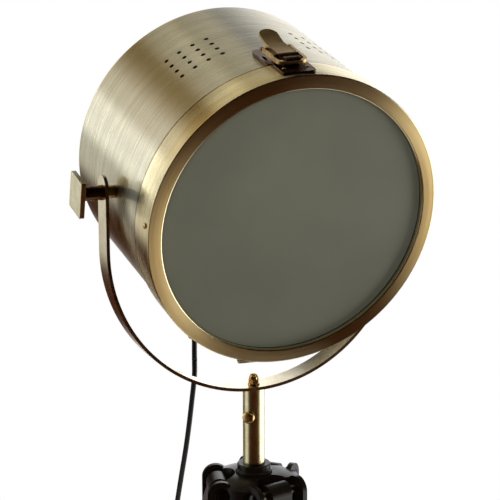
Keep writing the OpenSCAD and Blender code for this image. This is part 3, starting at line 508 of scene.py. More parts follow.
@dataclass(frozen=True)
class Moulded:
    """Moulded plastic, rubber, enamel or PVC: even colour with a fine grain from the mould."""

    name: str
    colour: str
    roughness: float
    grain_mm: float = 0.8
    bump: float = 0.15
    coat: float = 0.0
    shine: float = 0.5  # how strongly it mirrors: 0.5 is plain plastic

    def build(self, head: HeadFrame) -> bpy.types.Material:
        """Makes the material.

        Args:
            head: not used, because the grain has no direction.

        Returns:
            The material.
        """
        material, tree = blank_material(self.name)
        place = add(tree, "ShaderNodeTexCoord")
        grain = add(tree, "ShaderNodeTexNoise", _0=(place, "Object"), Scale=1.0 / (self.grain_mm * MM),
                    Detail=3.0)
        cloud = add(tree, "ShaderNodeTexNoise", _0=(place, "Object"), Scale=22.0, Detail=4.0)
        base = linear(self.colour)
        stops = [(0.3, tuple(c * 0.8 for c in base[:3]) + (1.0,)),
                 (0.7, tuple(min(1.0, c * 1.15) for c in base[:3]) + (1.0,))]
        tint = add(tree, "ShaderNodeValToRGB", {"stops": stops}, Fac=(cloud, "Fac"))
        rough = add(tree, "ShaderNodeMapRange", Value=(cloud, "Fac"))
        rough.inputs["To Min"].default_value = self.roughness * 0.85
        rough.inputs["To Max"].default_value = min(1.0, self.roughness * 1.15)
        bump = add(tree, "ShaderNodeBump", Strength=self.bump, Distance=0.0003, Height=(grain, "Fac"))
        shader = add(tree, "ShaderNodeBsdfPrincipled", Base__Color=(tint, "Color"),
                     Roughness=(rough, "Result"),
                     Normal=(bump, "Normal"))
        shader.inputs["Specular IOR Level"].default_value = self.shine
        shader.inputs["Coat Weight"].default_value = self.coat
        shader.inputs["Coat Roughness"].default_value = 0.2
        add(tree, "ShaderNodeOutputMaterial", Surface=(shader, "BSDF"))
        return material


@dataclass(frozen=True)
class Wood:
    """Stained and varnished hardwood: long grain lines along each rail, with fine pores."""

    name: str
    dark: str
    light: str
    ring_mm: float = 3.2

    def build(self, head: HeadFrame) -> bpy.types.Material:
        """Makes the material, which reads each rail's own lengthwise coordinates.

        Args:
            head: not used.

        Returns:
            The material.
        """
        material, tree = blank_material(self.name)
        grain = add(tree, "ShaderNodeAttribute", {"attribute_name": "grain"})
        warp = add(tree, "ShaderNodeMapping", Vector=(grain, "Vector"))
        warp.inputs["Scale"].default_value = (1.0, 1.0, 0.06)
        wave = add(tree, "ShaderNodeTexNoise", _0=(warp, "Vector"), Scale=1.0 / (self.ring_mm * MM),
                   Detail=4.0,
                   Roughness=0.6, Distortion=0.4)
        pores = add(tree, "ShaderNodeTexNoise", _0=(warp, "Vector"), Scale=2600.0, Detail=2.0)
        colour = add(tree, "ShaderNodeValToRGB", {"stops": [(0.32, linear(self.dark)),
                                                            (0.68, linear(self.light))]}, Fac=(wave, "Fac"))
        mixed = add(tree, "ShaderNodeMix", {"data_type": "RGBA", "blend_type": "MULTIPLY"}, _0=0.35,
                    _6=(colour, "Color"), _7=(pores, "Color"))
        bump = add(tree, "ShaderNodeBump", Strength=0.2, Distance=0.0003, Height=(pores, "Fac"))
        rough = add(tree, "ShaderNodeMapRange", Value=(wave, "Fac"))
        rough.inputs["To Min"].default_value = 0.42
        rough.inputs["To Max"].default_value = 0.3
        shader = add(tree, "ShaderNodeBsdfPrincipled", Base__Color=(mixed, 2), Roughness=(rough, "Result"),
                     Normal=(bump, "Normal"))
        shader.inputs["Coat Weight"].default_value = 0.25
        shader.inputs["Coat Roughness"].default_value = 0.25
        add(tree, "ShaderNodeOutputMaterial", Surface=(shader, "BSDF"))
        return material


@dataclass(frozen=True)
class Glass:
    """Glass, frosted or opal: light comes through scattered, so what is behind it is soft."""

    name: str
    colour: str
    roughness: float
    transmission: float
    grain_mm: float = 1.2

    def build(self, head: HeadFrame) -> bpy.types.Material:
        """Makes the material.

        Args:
            head: not used.

        Returns:
            The material.
        """
        material, tree = blank_material(self.name)
        place = add(tree, "ShaderNodeTexCoord")
        cloud = add(tree, "ShaderNodeTexNoise", _0=(place, "Object"), Scale=9.0, Detail=3.0)
        base = linear(self.colour)
        stops = [(0.32, tuple(c * 0.82 for c in base[:3]) + (1.0,)), (0.7, base)]
        tint = add(tree, "ShaderNodeValToRGB", {"stops": stops}, Fac=(cloud, "Fac"))
        etch = add(tree, "ShaderNodeTexNoise", _0=(place, "Object"), Scale=1.0 / (self.grain_mm * MM),
                   Detail=2.0)
        bump = add(tree, "ShaderNodeBump", Strength=0.05, Distance=0.0002, Height=(etch, "Fac"))
        rough = add(tree, "ShaderNodeMapRange", Value=(etch, "Fac"))
        rough.inputs["To Min"].default_value = self.roughness * 0.9
        rough.inputs["To Max"].default_value = min(1.0, self.roughness * 1.1)
        shader = add(tree, "ShaderNodeBsdfPrincipled", Base__Color=(tint, "Color"),
                     Roughness=(rough, "Result"),
                     Normal=(bump, "Normal"), IOR=1.5)
        shader.inputs["Transmission Weight"].default_value = self.transmission
        add(tree, "ShaderNodeOutputMaterial", Surface=(shader, "BSDF"))
        return material


class Finish(Enum):
    """Every finish on the lamp."""

    # steel sheet with an antique brass finish, brushed round the drum: pale, with fine darker lines
    DRUM = Metal("brushed_antique_brass_drum", "#dfd9c4", "#d3ccb4", 0.28, 0.12, 0.9, Grain.HEAD)
    # the same finish, warmer, on the wall of the front ring
    RING = Metal("brushed_golden_brass_ring", "#e6dab6", "#dccc9f", 0.26, 0.12, 0.75, Grain.HEAD)
    # the ring's flat front, turned on a lathe: broad fans of light between dark ones
    RING_FACE = Metal("turned_golden_brass_face", "#e6ce9a", "#dcc088", 0.4, 0.12, 1.0, Grain.HEAD)
    # bent strip of the yoke, polished: close to a mirror
    YOKE = Metal("polished_antique_brass_strip", "#dcd4be", "#d0c4a4", 0.24, 0.05)
    # sheared edges of the same strip, where the patina stays; the same dark brown on the drum's front rim is
    # painted shade at the seam under the ring
    EDGE = Metal("patinated_edges_and_painted_seam_shade", "#9a784e", "#7c5b38", 0.3, 0.1)
    # drawn brass tube of the stem, polished: sharp highlights with a brown shadow between
    TUBE = Metal("polished_brass_tube", "#dfd4ae", "#d3c598", 0.3, 0.06, 0.0, Grain.STEM)
    # flat plates of the pivot knobs, lightly brushed and pale
    PLATE = Metal("brushed_pale_brass_knobs", "#e0d9bd", "#cfc6a4", 0.22, 0.12, 0.0, Grain.ALONG)
    # pressed fittings in dark bronze, polished where they are handled
    DARK = Metal("polished_dark_bronze_fittings", "#a8875a", "#86683f", 0.3, 0.1)
    # the latch's lever, tab and loop, worn to a golden brown
    TAB = Metal("worn_golden_bronze", "#d2b27c", "#b99760", 0.34, 0.1)
    # dark brown bronze: the knobs' shafts and washers and the latch's plates; on the ring's edge at the seam
    # it is painted shade
    SHAFT = Metal("dark_brown_bronze", "#6a4a2e", "#4d331d", 0.26, 0.1)
    # turned brass screws, nuts and knobs
    SMALL = Metal("polished_brass_small_parts", "#dfc084", "#c6a263", 0.27, 0.08)
    # zinc plated steel: grey and even
    STEEL = Metal("zinc_plated_steel", "#a9a7a0", "#93918a", 0.32, 0.2)
    # steel bolts, chemically blackened and oiled
    BLACK_STEEL = Metal("blackened_steel_bolts", "#4a4846", "#333130", 0.3, 0.2)
    # spun aluminium, etched: bright and soft
    SPUN = Metal("spun_etched_aluminium", "#d9d9d6", "#c9c9c5", 0.38, 0.2, 0.4, Grain.HEAD)
    # satin stove enamel on cast iron: black with a soft grey sheen
    CASTING = Moulded("satin_black_enamel_casting", "#120d09", 0.3, 1.1, 0.02, 0.0, 0.22)
    # thermoplastic, moulded with a fine texture
    PLASTIC = Moulded("moulded_black_thermoplastic", "#171717", 0.5, 0.9, 0.2)
    # the switch's button, of the same plastic in grey
    BUTTON = Moulded("moulded_grey_thermoplastic_button", "#3a3a39", 0.45, 0.9, 0.2)
    # mains cord: black PVC with a soft shine
    CORD = Moulded("extruded_black_pvc_cord", "#0c0908", 0.36, 6.0, 0.0, 0.0, 0.3)
    # rubber feet and the glass's seal
    RUBBER = Moulded("vulcanised_black_rubber", "#141413", 0.75, 1.0, 0.3)
    # glazed ceramic of the terminal block
    CERAMIC = Moulded("glazed_cream_terminal_block", "#d9d3c0", 0.3, 2.0, 0.05, 0.3)
    # hardwood rails, stained dark brown and varnished
    WOOD = Wood("stained_varnished_hardwood", "#2c1a10", "#5e3b24")
    # sandblasted grey glass, dull from the front
    FROSTED = Glass("sandblasted_grey_glass", "#787a6b", 0.5, 0.2)
    # opal glass of the bulb
    OPAL = Glass("opal_bulb_glass", "#efe9db", 0.4, 0.15)


class Paintbox:
    """Makes each finish's material once."""

    def __init__(self, head: HeadFrame) -> None:
        """Keeps the head's frame for the finishes that follow it."""
        self.head = head
        self.made: Dict[Finish, bpy.types.Material] = {}

    def __getitem__(self, finish: Finish) -> bpy.types.Material:
        """Returns a finish's material, made at its first use."""
        if finish not in self.made:
            self.made[finish] = finish.value.build(self.head)
        return self.made[finish]


# ---------------------------------------------------------------- the model

@dataclass
class Workshop:
    """What every sub-assembly's builder needs: the frame, the finishes and the bodies."""

    nodes: Dict[str, bpy.types.Object]
    body_of: Dict[str, str]
    head: HeadFrame
    paint: Paintbox
    weld: float = 0.002 * MM  # points of a solid nearer than this become one
    flat: float = math.radians(0.4)  # faces that meet at less than this become one

    def place(self, obj: bpy.types.Object, body: str, stands_for: Sequence[str] = ()) -> bpy.types.Object:
        """Lets a piece ride on its body and stand for solids.

        Args:
            obj: the piece.
            body: the body's name.
            stands_for: the solids that it replaces.

        Returns:
            The piece.
        """
        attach(obj, body)
        if stands_for:
            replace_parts(obj, *stands_for)
        LOG.info("%s rides on %s", obj.name, body)
        return obj

    def finished(self, node: str, finish: Finish, bevel: float, segments: int = 2) -> bpy.types.Object:
        """Makes a smooth, softly edged piece from a solid's own shape.

        Args:
            node: the solid.
            finish: its finish.
            bevel: the edges' bevel width in metres, or 0 for none.
            segments: the bevel's steps.

        Returns:
            The piece, which replaces the solid.
        """
        bm = bmesh.new()
        bm.from_mesh(self.nodes[node].data)
        bmesh.ops.remove_doubles(bm, verts=bm.verts, dist=self.weld)
        bmesh.ops.dissolve_limit(bm, angle_limit=self.flat, verts=bm.verts, edges=bm.edges)
        obj = make_object(node + "_finished", bm, self.paint[finish])
        if bevel:
            add_bevel(obj, bevel, segments)
        return self.place(obj, self.body_of[node], (node,))

    def dress(self, finishes: Dict[str, Tuple[Finish, float]]) -> None:
        """Dresses the solids that need a finish and soft edges, and no more.

        Args:
            finishes: each solid's finish and bevel width.
        """
        for node, (finish, bevel) in finishes.items():
            self.finished(node, finish, bevel)


def second_finish(obj: bpy.types.Object, material: bpy.types.Material,
                  wanted: Callable[[bpy.types.MeshPolygon], bool]) -> None:
    """Gives some faces of a piece another finish.

    Args:
        obj: the piece.
        material: the other finish's material.
        wanted: tells whether a face takes it.
    """
    obj.data.materials.append(material)
    for face in obj.data.polygons:
        if wanted(face):
            face.material_index = len(obj.data.materials) - 1


@dataclass
class VentCutters:
    """The punches that make the drum's vent holes, four by four on each side of the top."""

    count: int = 4
    diameter: float = 5.0 * MM
    pitch: float = 14.75 * MM  # from hole to hole along the axis
    step: float = math.radians(5.9)  # from hole to hole round it
    first: float = math.radians(17.9)  # from the top to the first holes
    back: float = 38.2 * MM  # from the pivots to the rearmost holes
    radius: float = 149.0 * MM  # where the middle of each punch is
    length: float = 10.0 * MM

    def tree(self, material: bpy.types.Material) -> bpy.types.NodeTree:
        """Builds the tree that sets a grid of punches round the axis.

        Args:
            material: the punches' material, which the holes' walls take.

        Returns:
            The tree, with named inputs for its sizes.
        """
        group = bpy.data.node_groups.new("vent_punches", "GeometryNodeTree")
        for label, kind, value in (("Around", "NodeSocketInt", self.count),
                                   ("Along", "NodeSocketInt", self.count),
                                   ("Diameter", "NodeSocketFloat", self.diameter),
                                   ("Pitch", "NodeSocketFloat", self.pitch), ("Step", "NodeSocketFloat",
                                                                              self.step),
                                   ("Radius", "NodeSocketFloat", self.radius)):
            socket = group.interface.new_socket(label, in_out="INPUT", socket_type=kind)
            socket.default_value = value
        group.interface.new_socket("Geometry", in_out="OUTPUT", socket_type="NodeSocketGeometry")
        sizes = group.nodes.new("NodeGroupInput")
        total = add(group, "ShaderNodeMath", {"operation": "MULTIPLY"}, _0=(sizes, "Around"),
                    _1=(sizes, "Along"))
        points = add(group, "GeometryNodePoints", Count=(total, "Value"))
        index = group.nodes.new("GeometryNodeInputIndex")
        column = add(group, "ShaderNodeMath", {"operation": "MODULO"}, _0=(index, "Index"),
                     _1=(sizes, "Around"))
        quotient = add(group, "ShaderNodeMath", {"operation": "DIVIDE"}, _0=(index, "Index"),
                       _1=(sizes, "Around"))
        row = add(group, "ShaderNodeMath", {"operation": "FLOOR"}, _0=(quotient, "Value"))
        angle = add(group, "ShaderNodeMath", {"operation": "MULTIPLY"}, _0=(column, "Value"),
                    _1=(sizes, "Step"))
        along = add(group, "ShaderNodeMath", {"operation": "MULTIPLY"}, _0=(row, "Value"),
                    _1=(sizes, "Pitch"))
        sine = add(group, "ShaderNodeMath", {"operation": "SINE"}, _0=(angle, "Value"))
        cosine = add(group, "ShaderNodeMath", {"operation": "COSINE"}, _0=(angle, "Value"))
        side = add(group, "ShaderNodeMath", {"operation": "MULTIPLY"}, _0=(sine, "Value"),
                   _1=(sizes, "Radius"))
        high = add(group, "ShaderNodeMath", {"operation": "MULTIPLY"}, _0=(cosine, "Value"),
                   _1=(sizes, "Radius"))
        less = add(group, "ShaderNodeMath", {"operation": "MULTIPLY"}, _0=(side, "Value"), _1=-1.0)
        where = add(group, "ShaderNodeCombineXYZ", X=(less, "Value"), Y=(high, "Value"), Z=(along, "Value"))
        placed = add(group, "GeometryNodeSetPosition", Geometry=(points, "Geometry"),
                     Position=(where, "Vector"))
        half = add(group, "ShaderNodeMath", {"operation": "MULTIPLY"}, _0=(sizes, "Diameter"), _1=0.5)
        punch = add(group, "GeometryNodeMeshCylinder", Vertices=20, Radius=(half, "Value"),
                    Depth=self.length)
        turn = add(group, "ShaderNodeCombineXYZ", X=-math.pi / 2, Z=(angle, "Value"))
        spread = add(group, "GeometryNodeInstanceOnPoints", Points=(placed, "Geometry"),
                     Instance=(punch, "Mesh"),
                     Rotation=(turn, "Vector"))
        real = add(group, "GeometryNodeRealizeInstances", Geometry=(spread, "Instances"))
        dressed = add(group, "GeometryNodeSetMaterial", Geometry=(real, "Geometry"))
        dressed.inputs["Material"].default_value = material
        out = group.nodes.new("NodeGroupOutput")
        group.links.new(dressed.outputs["Geometry"], out.inputs[0])
        return group

    def build(self, shop: Workshop, material: bpy.types.Material) -> bpy.types.Object:
        """Makes the punches as one plain mesh.

        Args:
            shop: the workshop.
            material: their material.

        Returns:
            The punches' object, which is used up by the drum.
        """
        group = self.tree(material)
        bm = bmesh.new()
        for sign in (1, -1):
            holder = bpy.data.objects.new("punches", bpy.data.meshes.new("punches"))
            bpy.context.scene.collection.objects.link(holder)
            modifier = holder.modifiers.new("punches", "NODES")
            modifier.node_group = group
            step = next(s for s in group.interface.items_tree if s.name == "Step")
            modifier[step.identifier] = sign * self.step
            plain_mesh(holder)
            holder.data.transform(shop.head.matrix() @ Matrix.Translation((0, 0, -self.back))
                                  @ Matrix.Rotation(sign * self.first, 4, "Z"))
            bm.from_mesh(holder.data)
            bpy.data.objects.remove(holder)
        bmesh.ops.recalc_face_normals(bm, faces=bm.faces)
        return make_object("vent_punches", bm, material, Shading.FLAT)


@dataclass
class Rivets:
    """Round-headed rivets, set on a surface by their place and direction."""

    diameter: float = 4.4 * MM
    rise: float = 0.42  # the head's height over its radius

    def tree(self, material: bpy.types.Material) -> bpy.types.NodeTree:
        """Builds the tree that sets a dome on every point.

        Args:
            material: the rivets' finish.

        Returns:
            The tree, with named inputs for its sizes.
        """
        group = bpy.data.node_groups.new("rivet_heads", "GeometryNodeTree")
        group.interface.new_socket("Geometry", in_out="INPUT", socket_type="NodeSocketGeometry")
        for label, value in (("Diameter", self.diameter), ("Rise", self.rise)):
            group.interface.new_socket(label, in_out="INPUT",
                                       socket_type="NodeSocketFloat").default_value = value
        group.interface.new_socket("Geometry", in_out="OUTPUT", socket_type="NodeSocketGeometry")
        sizes = group.nodes.new("NodeGroupInput")
        half = add(group, "ShaderNodeMath", {"operation": "MULTIPLY"}, _0=(sizes, "Diameter"), _1=0.5)
        dome = add(group, "GeometryNodeMeshUVSphere", Segments=20, Rings=10, Radius=(half, "Value"))
        points = add(group, "GeometryNodeMeshToPoints", Mesh=(sizes, "Geometry"))
        aim = add(group, "GeometryNodeInputNamedAttribute", {"data_type": "FLOAT_VECTOR"}, Name="aim")
        turn = add(group, "FunctionNodeAlignRotationToVector", {"axis": "Z"}, Vector=(aim, "Attribute"))
        flat = add(group, "ShaderNodeCombineXYZ", X=1.0, Y=1.0, Z=(sizes, "Rise"))
        spread = add(group, "GeometryNodeInstanceOnPoints", Points=(points, "Points"),
                     Instance=(dome, "Mesh"),
                     Rotation=(turn, "Rotation"), Scale=(flat, "Vector"))
        real = add(group, "GeometryNodeRealizeInstances", Geometry=(spread, "Instances"))
        dressed = add(group, "GeometryNodeSetMaterial", Geometry=(real, "Geometry"))
        dressed.inputs["Material"].default_value = material
        out = group.nodes.new("NodeGroupOutput")
        group.links.new(dressed.outputs["Geometry"], out.inputs[0])
        return group

    def build(self, shop: Workshop, name: str, body: str, finish: Finish,
              places: Sequence[Tuple[Vector, Vector]]) -> None:
        """Sets rivets on one body.

        Args:
            shop: the workshop.
            name: the piece's name.
            body: the body that they ride on.
            finish: their finish.
            places: each rivet's place and direction.
        """
        bm = bmesh.new()
        aim = bm.verts.layers.float_vector.new("aim")
        for place, direction in places:
            bm.verts.new(place)[aim] = direction
        obj = make_object(name, bm, shop.paint[finish])
        modifier = obj.modifiers.new("rivets", "NODES")
        modifier.node_group = self.tree(shop.paint[finish])
        size = next(s for s in modifier.node_group.interface.items_tree if s.name == "Diameter")
        modifier[size.identifier] = self.diameter
        plain_mesh(obj)
        for face in obj.data.polygons:
            face.use_smooth = True
        shop.place(obj, body)


@dataclass
class Drum:
    """The head's shell, with its rim and vent holes, and the cap at its rear."""

    radius: float = 150.0 * MM
    wall: float = 1.2 * MM
    back: float = 111.5 * MM
    front: float = 68.7 * MM
    rim_radius: float = 146.6 * MM
    rim_length: float = 9.0 * MM
    cap_step_radius: float = 104.0 * MM
    cap_step: float = 7.0 * MM
    cap_skirt: float = 10.0 * MM
    gland_radius: float = 7.0 * MM
    gap: float = 0.2 * MM
    painted_rim_shade: float = 0.3 * MM  # painted shade: the shell's front edge and its rim are darkened where the seam under the ring lies in shade
    wall_lean: float = 0.97  # the least cosine to the radial direction of the round wall's faces
    steps: int = 256

    def build(self, shop: Workshop) -> None:
        """Makes the shell and the rear cap.

        Args:
            shop: the workshop.
        """
        self.shell(shop)
        self.cap(shop)

    def shell(self, shop: Workshop) -> None:
        """Makes the shell, punches its vent holes, and sets its round shading.

        Args:
            shop: the workshop.
        """
        inner, rim_in = self.radius - self.wall, self.rim_radius - self.wall
        outline = [(inner, -self.back), (self.radius, -self.back), (self.radius, self.front),
                   (self.rim_radius, self.front), (self.rim_radius, self.front + self.rim_length),
                   (rim_in, self.front + self.rim_length), (rim_in, self.front - 2 * MM),
                   (inner, self.front - 2 * MM)]
        bm = lathe(rounded(outline, 0.5 * MM), self.steps, shop.head.matrix())
        drum = make_object("drum_shell_brushed", bm, shop.paint[Finish.DRUM])
        punches = VentCutters().build(shop, shop.paint[Finish.DARK])
        cut = drum.modifiers.new("vents", "BOOLEAN")
        cut.operation, cut.object, cut.solver = "DIFFERENCE", punches, "EXACT"
        plain_mesh(drum)
        bpy.data.objects.remove(punches)
        self.round_normals(drum, shop.head)
        # painted shade: the front edge and rim take the dark edge finish, for the shaded seam under the ring
        second_finish(drum, shop.paint[Finish.EDGE],
                      lambda face: shop.head.along(face.center) > self.front - self.painted_rim_shade)
        shop.place(drum, "head", ("drum_shell",))

    def round_normals(self, obj: bpy.types.Object, head: HeadFrame) -> None:
        """Shades the round wall by the true radial direction, so that the holes leave no dents.

        Args:
            obj: the drum.
            head: the head's frame.
        """
        mesh = obj.data
        normals: List[Vector] = [Vector((0, 0, 0))] * len(mesh.loops)
        for face in mesh.polygons:
            for i in face.loop_indices:
                offset = mesh.vertices[mesh.loops[i].vertex_index].co - head.centre
                radial = (offset - head.front * offset.dot(head.front)).normalized()
                lean = face.normal.dot(radial)
                if abs(lean) > self.wall_lean:
                    normals[i] = radial if lean > 0 else -radial
                else:
                    normals[i] = face.normal.copy()
            face.use_smooth = True
        mesh.normals_split_custom_set(normals)

    def cap(self, shop: Workshop) -> None:
        """Makes the pressed rear cap, with a step and a rolled edge.

        Args:
            shop: the workshop.
        """
        edge, wall, step = self.radius - self.wall - self.gap, self.wall, self.cap_step_radius
        rear, hole = -self.back - self.cap_step, self.gland_radius + self.gap
        outline = [(hole, rear), (step, rear), (step, -self.back), (edge, -self.back),
                   (edge, self.cap_skirt - self.back), (edge - wall, self.cap_skirt - self.back),
                   (edge - wall, wall - self.back), (step - wall, wall - self.back),
                   (step - wall, rear + wall), (hole, rear + wall)]
        bm = lathe(rounded(outline, 1.8 * MM, 4), self.steps, shop.head.matrix())
        shop.place(make_object("rear_cap_pressed", bm, shop.paint[Finish.DRUM]), "head", ("rear_cap",))


@dataclass
class FrontRing:
    """The hinged front ring, with its glass, what holds the glass, and the latch's catch."""

    radius: float = 153.0 * MM
    wall: float = 1.6 * MM
    back: float = 69.6 * MM
    front: float = 108.8 * MM
    opening: float = 138.5 * MM
    lip: float = 5.0 * MM
    painted_shade_band: float = 1.9 * MM  # painted shade: a dark band along the rolled edge at the back, where the seam with the drum lies in shade
    crown: float = 1.4 * MM  # how far the face falls back from the opening to its outer edge
    corner: float = 1.2 * MM  # the radius of the rolled front corner
    face_lean: float = math.cos(math.radians(12))  # the least cosine to the front of the face's faces
    glass_radius: float = 147.5 * MM
    glass_back: float = 97.8 * MM
    glass_thickness: float = 4.0 * MM
    latch_turn: float = math.radians(1.9)  # how far the latch's catch is turned from the top
    catch_rise: float = 1.6 * MM  # its plate's height over the ring's wall
    rivet_side: float = 12.0 * MM  # its two rivets' places, to each side of its middle
    rivet_front: float = 89.0 * MM  # and in front of the pivots
    steps: int = 256
    fittings: Dict[str, Tuple[Finish, float]] = field(default_factory=lambda: {
        "glass_seal": (Finish.RUBBER, 0.0003),
        "glass_clips": (Finish.STEEL, 0.0002),
        "ring_screws": (Finish.SMALL, 0.0),
        "ring_hinge_leaf": (Finish.RING, 0.0004),
        "latch_catch": (Finish.SHAFT, 0.0004),
    })

    def build(self, shop: Workshop) -> None:
        """Makes the ring, the glass and what holds it.

        Args:
            shop: the workshop.
        """
        self.ring(shop)
        edge, low, high = self.glass_radius, self.glass_back, self.glass_back + self.glass_thickness
        bm = lathe(rounded([(0, low), (edge, low), (edge, high), (0, high)], 0.6 * MM), self.steps,
                   shop.head.matrix())
        shop.place(make_object("front_glass_frosted", bm, shop.paint[Finish.FROSTED]),
                   "front_ring_assembly", ("front_glass",))
        shop.dress(self.fittings)
        self.rivets(shop)

    def ring(self, shop: Workshop) -> None:
        """Makes the ring itself, with its face turned on a lathe and a band of painted shade along its rolled
        back edge.

        Args:
            shop: the workshop.
        """
        inner, opening, front = self.radius - self.wall, self.opening, self.front
        rolled = [(inner, self.back), (self.radius - 0.4 * MM, self.back),
                  (self.radius, self.back + 0.4 * MM), (self.radius, self.back + self.painted_shade_band)]
        arc = [(self.radius - self.corner * (1 - math.cos(a)),
                front - self.crown - self.corner * (1 - math.sin(a)))
               for a in (math.radians(15 * k) for k in range(7))]
        lip = [(opening + 1.6 * MM, front), (opening + 0.8 * MM, front - 0.2 * MM),
               (opening + 0.2 * MM, front - 0.8 * MM), (opening, front - 1.6 * MM),
               (opening, front - self.lip), (opening + 1.2 * MM, front - self.lip),
               (opening + 1.2 * MM, front - self.wall)]
        inside = [(inner - 0.8 * MM, front - self.wall), (inner, front - self.wall - 0.8 * MM)]
        bm = lathe(rolled + arc + lip + inside, self.steps, shop.head.matrix())
        ring = make_object("front_ring_brushed", bm, shop.paint[Finish.RING])
        second_finish(ring, shop.paint[Finish.RING_FACE],
                      lambda face: face.normal.dot(shop.head.front) > self.face_lean)
        # painted shade: a dark band at the back edge, for the shaded seam with the drum
        second_finish(ring, shop.paint[Finish.SHAFT],
                      lambda face: shop.head.along(face.center) < self.back + self.painted_shade_band)
        shop.place(ring, "front_ring_assembly", ("front_ring",))

    def rivets(self, shop: Workshop) -> None:
        """Sets the two rivets of the latch's catch.

        Args:
            shop: the workshop.
        """
        outward, sideways = shop.head.outward(self.latch_turn), shop.head.around(self.latch_turn)
        middle = (shop.head.centre + outward * (self.radius + self.catch_rise)
                  + shop.head.front * self.rivet_front)
        places = [(middle + sideways * side, outward) for side in (-self.rivet_side, self.rivet_side)]
        Rivets().build(shop, "latch_catch_rivets", "front_ring_assembly", Finish.TAB, places)


@dataclass
class HeadInside:
    """What the drum carries: lamp, reflector, gland, pivots, hinge and latch."""

    finishes: Dict[str, Tuple[Finish, float]] = field(default_factory=lambda: {
        "reflector": (Finish.SPUN, 0.0),
        "lampholder_bracket": (Finish.STEEL, 0.0003),
        "lampholder": (Finish.PLASTIC, 0.0004),
        "bulb": (Finish.OPAL, 0.0),
        "terminal_block": (Finish.CERAMIC, 0.0005),
        "cable_gland": (Finish.PLASTIC, 0.0003),
        "pivot_studs": (Finish.DARK, 0.0003),
        "pivot_spacers": (Finish.DARK, 0.0003),
        "drum_hinge_leaf": (Finish.DARK, 0.0004),
        "hinge_and_latch_pins": (Finish.STEEL, 0.0003),
        "latch_base": (Finish.SHAFT, 0.0004),
        "latch_lever": (Finish.TAB, 0.0004),
        "latch_loop": (Finish.TAB, 0.0008),
    })
    knob_plate: float = 185.4 * MM  # from the middle to where the knobs' shafts end and their plates begin

    def build(self, shop: Workshop) -> None:
        """Dresses each of the head's smaller pieces.

        Args:
            shop: the workshop.
        """
        shop.dress(self.finishes)
        for node in ("knob_left", "knob_right"):
            knob = shop.finished(node, Finish.PLATE, 0.0008)
            second_finish(knob, shop.paint[Finish.SHAFT],
                          lambda face: abs(face.center.x - shop.head.centre.x) < self.knob_plate)


@dataclass
class Yoke:
    """The U-shaped strip on its stem, with the cap nut, the washers and the stem's screw."""

    finishes: Dict[str, Tuple[Finish, float]] = field(default_factory=lambda: {
        "stem_tube": (Finish.TUBE, 0.0003),
        "yoke_cap_nut": (Finish.SMALL, 0.0004),
        "yoke_washer": (Finish.SMALL, 0.0002),
        "knob_washers": (Finish.SHAFT, 0.0004),
        "stem_screw": (Finish.SMALL, 0.0003),
    })
    edge_lean: float = 0.9  # the least cosine to the front or back of the strip's sheared edges

    def build(self, shop: Workshop) -> None:
        """Dresses the yoke's pieces.

        Args:
            shop: the workshop.
        """
        shop.dress(self.finishes)
        strip = shop.finished("yoke_strip", Finish.YOKE, 0.0006)
        second_finish(strip, shop.paint[Finish.EDGE], lambda face: abs(face.normal.y) > self.edge_lean)


@dataclass
class Stand:
    """The hub and its three legs."""

    legs: int = 3
    splay: float = math.radians(16.5)
    first_turn: float = math.radians(14.0)
    bolt_height: float = 999.5 * MM
    hub_parts: Dict[str, Tuple[Finish, float]] = field(default_factory=lambda: {
        "hub": (Finish.CASTING, 0.0008),
        "hub_collar": (Finish.CASTING, 0.0005),
        "spigot": (Finish.STEEL, 0.0),
        "leg_bolts": (Finish.BLACK_STEEL, 0.0003),
        "leg_nuts": (Finish.BLACK_STEEL, 0.0003),
        "leg_bushes": (Finish.STEEL, 0.0003),
    })
    leg_parts: Dict[str, Tuple[Finish, float]] = field(default_factory=lambda: {
        "knuckle": (Finish.CASTING, 0.001),
        "side_rails": (Finish.WOOD, 0.0015),
        "clamp": (Finish.CASTING, 0.0008),
        "clamp_knob": (Finish.SMALL, 0.0012),
        "middle_rail": (Finish.WOOD, 0.0015),
        "foot": (Finish.RUBBER, 0.0015),
    })

    def build(self, shop: Workshop) -> None:
        """Dresses the hub and the legs.

        Args:
            shop: the workshop.
        """
        shop.dress(self.hub_parts)
        for leg in range(self.legs):
            for part, (finish, bevel) in self.leg_parts.items():
                obj = shop.finished(f"leg_{leg + 1}_{part}", finish, bevel)
                if finish is Finish.WOOD:
                    self.lay_grain(obj, leg, shop.head.stem)

    def lay_grain(self, obj: bpy.types.Object, leg: int, stem: Vector) -> None:
        """Stores each point's place along the leg, for the wood's grain.

        Args:
            obj: the rail.
            leg: the leg's number, from 0.
            stem: the stem's axis.
        """
        turn = self.first_turn + math.radians(360 / self.legs) * leg
        frame = (Matrix.Translation((stem.x, stem.y, self.bolt_height)) @ Matrix.Rotation(turn, 4, "Z")
                 @ Matrix.Rotation(-self.splay, 4, "X"))
        back = frame.inverted()
        layer = obj.data.attributes.new("grain", "FLOAT_VECTOR", "POINT")
        shift = Vector((0.13, 0.07, 0.31)) * leg  # another part of the grain for each leg
        for i, vertex in enumerate(obj.data.vertices):
            layer.data[i].vector = back @ vertex.co + shift


# ---------------------------------------------------------------- cord

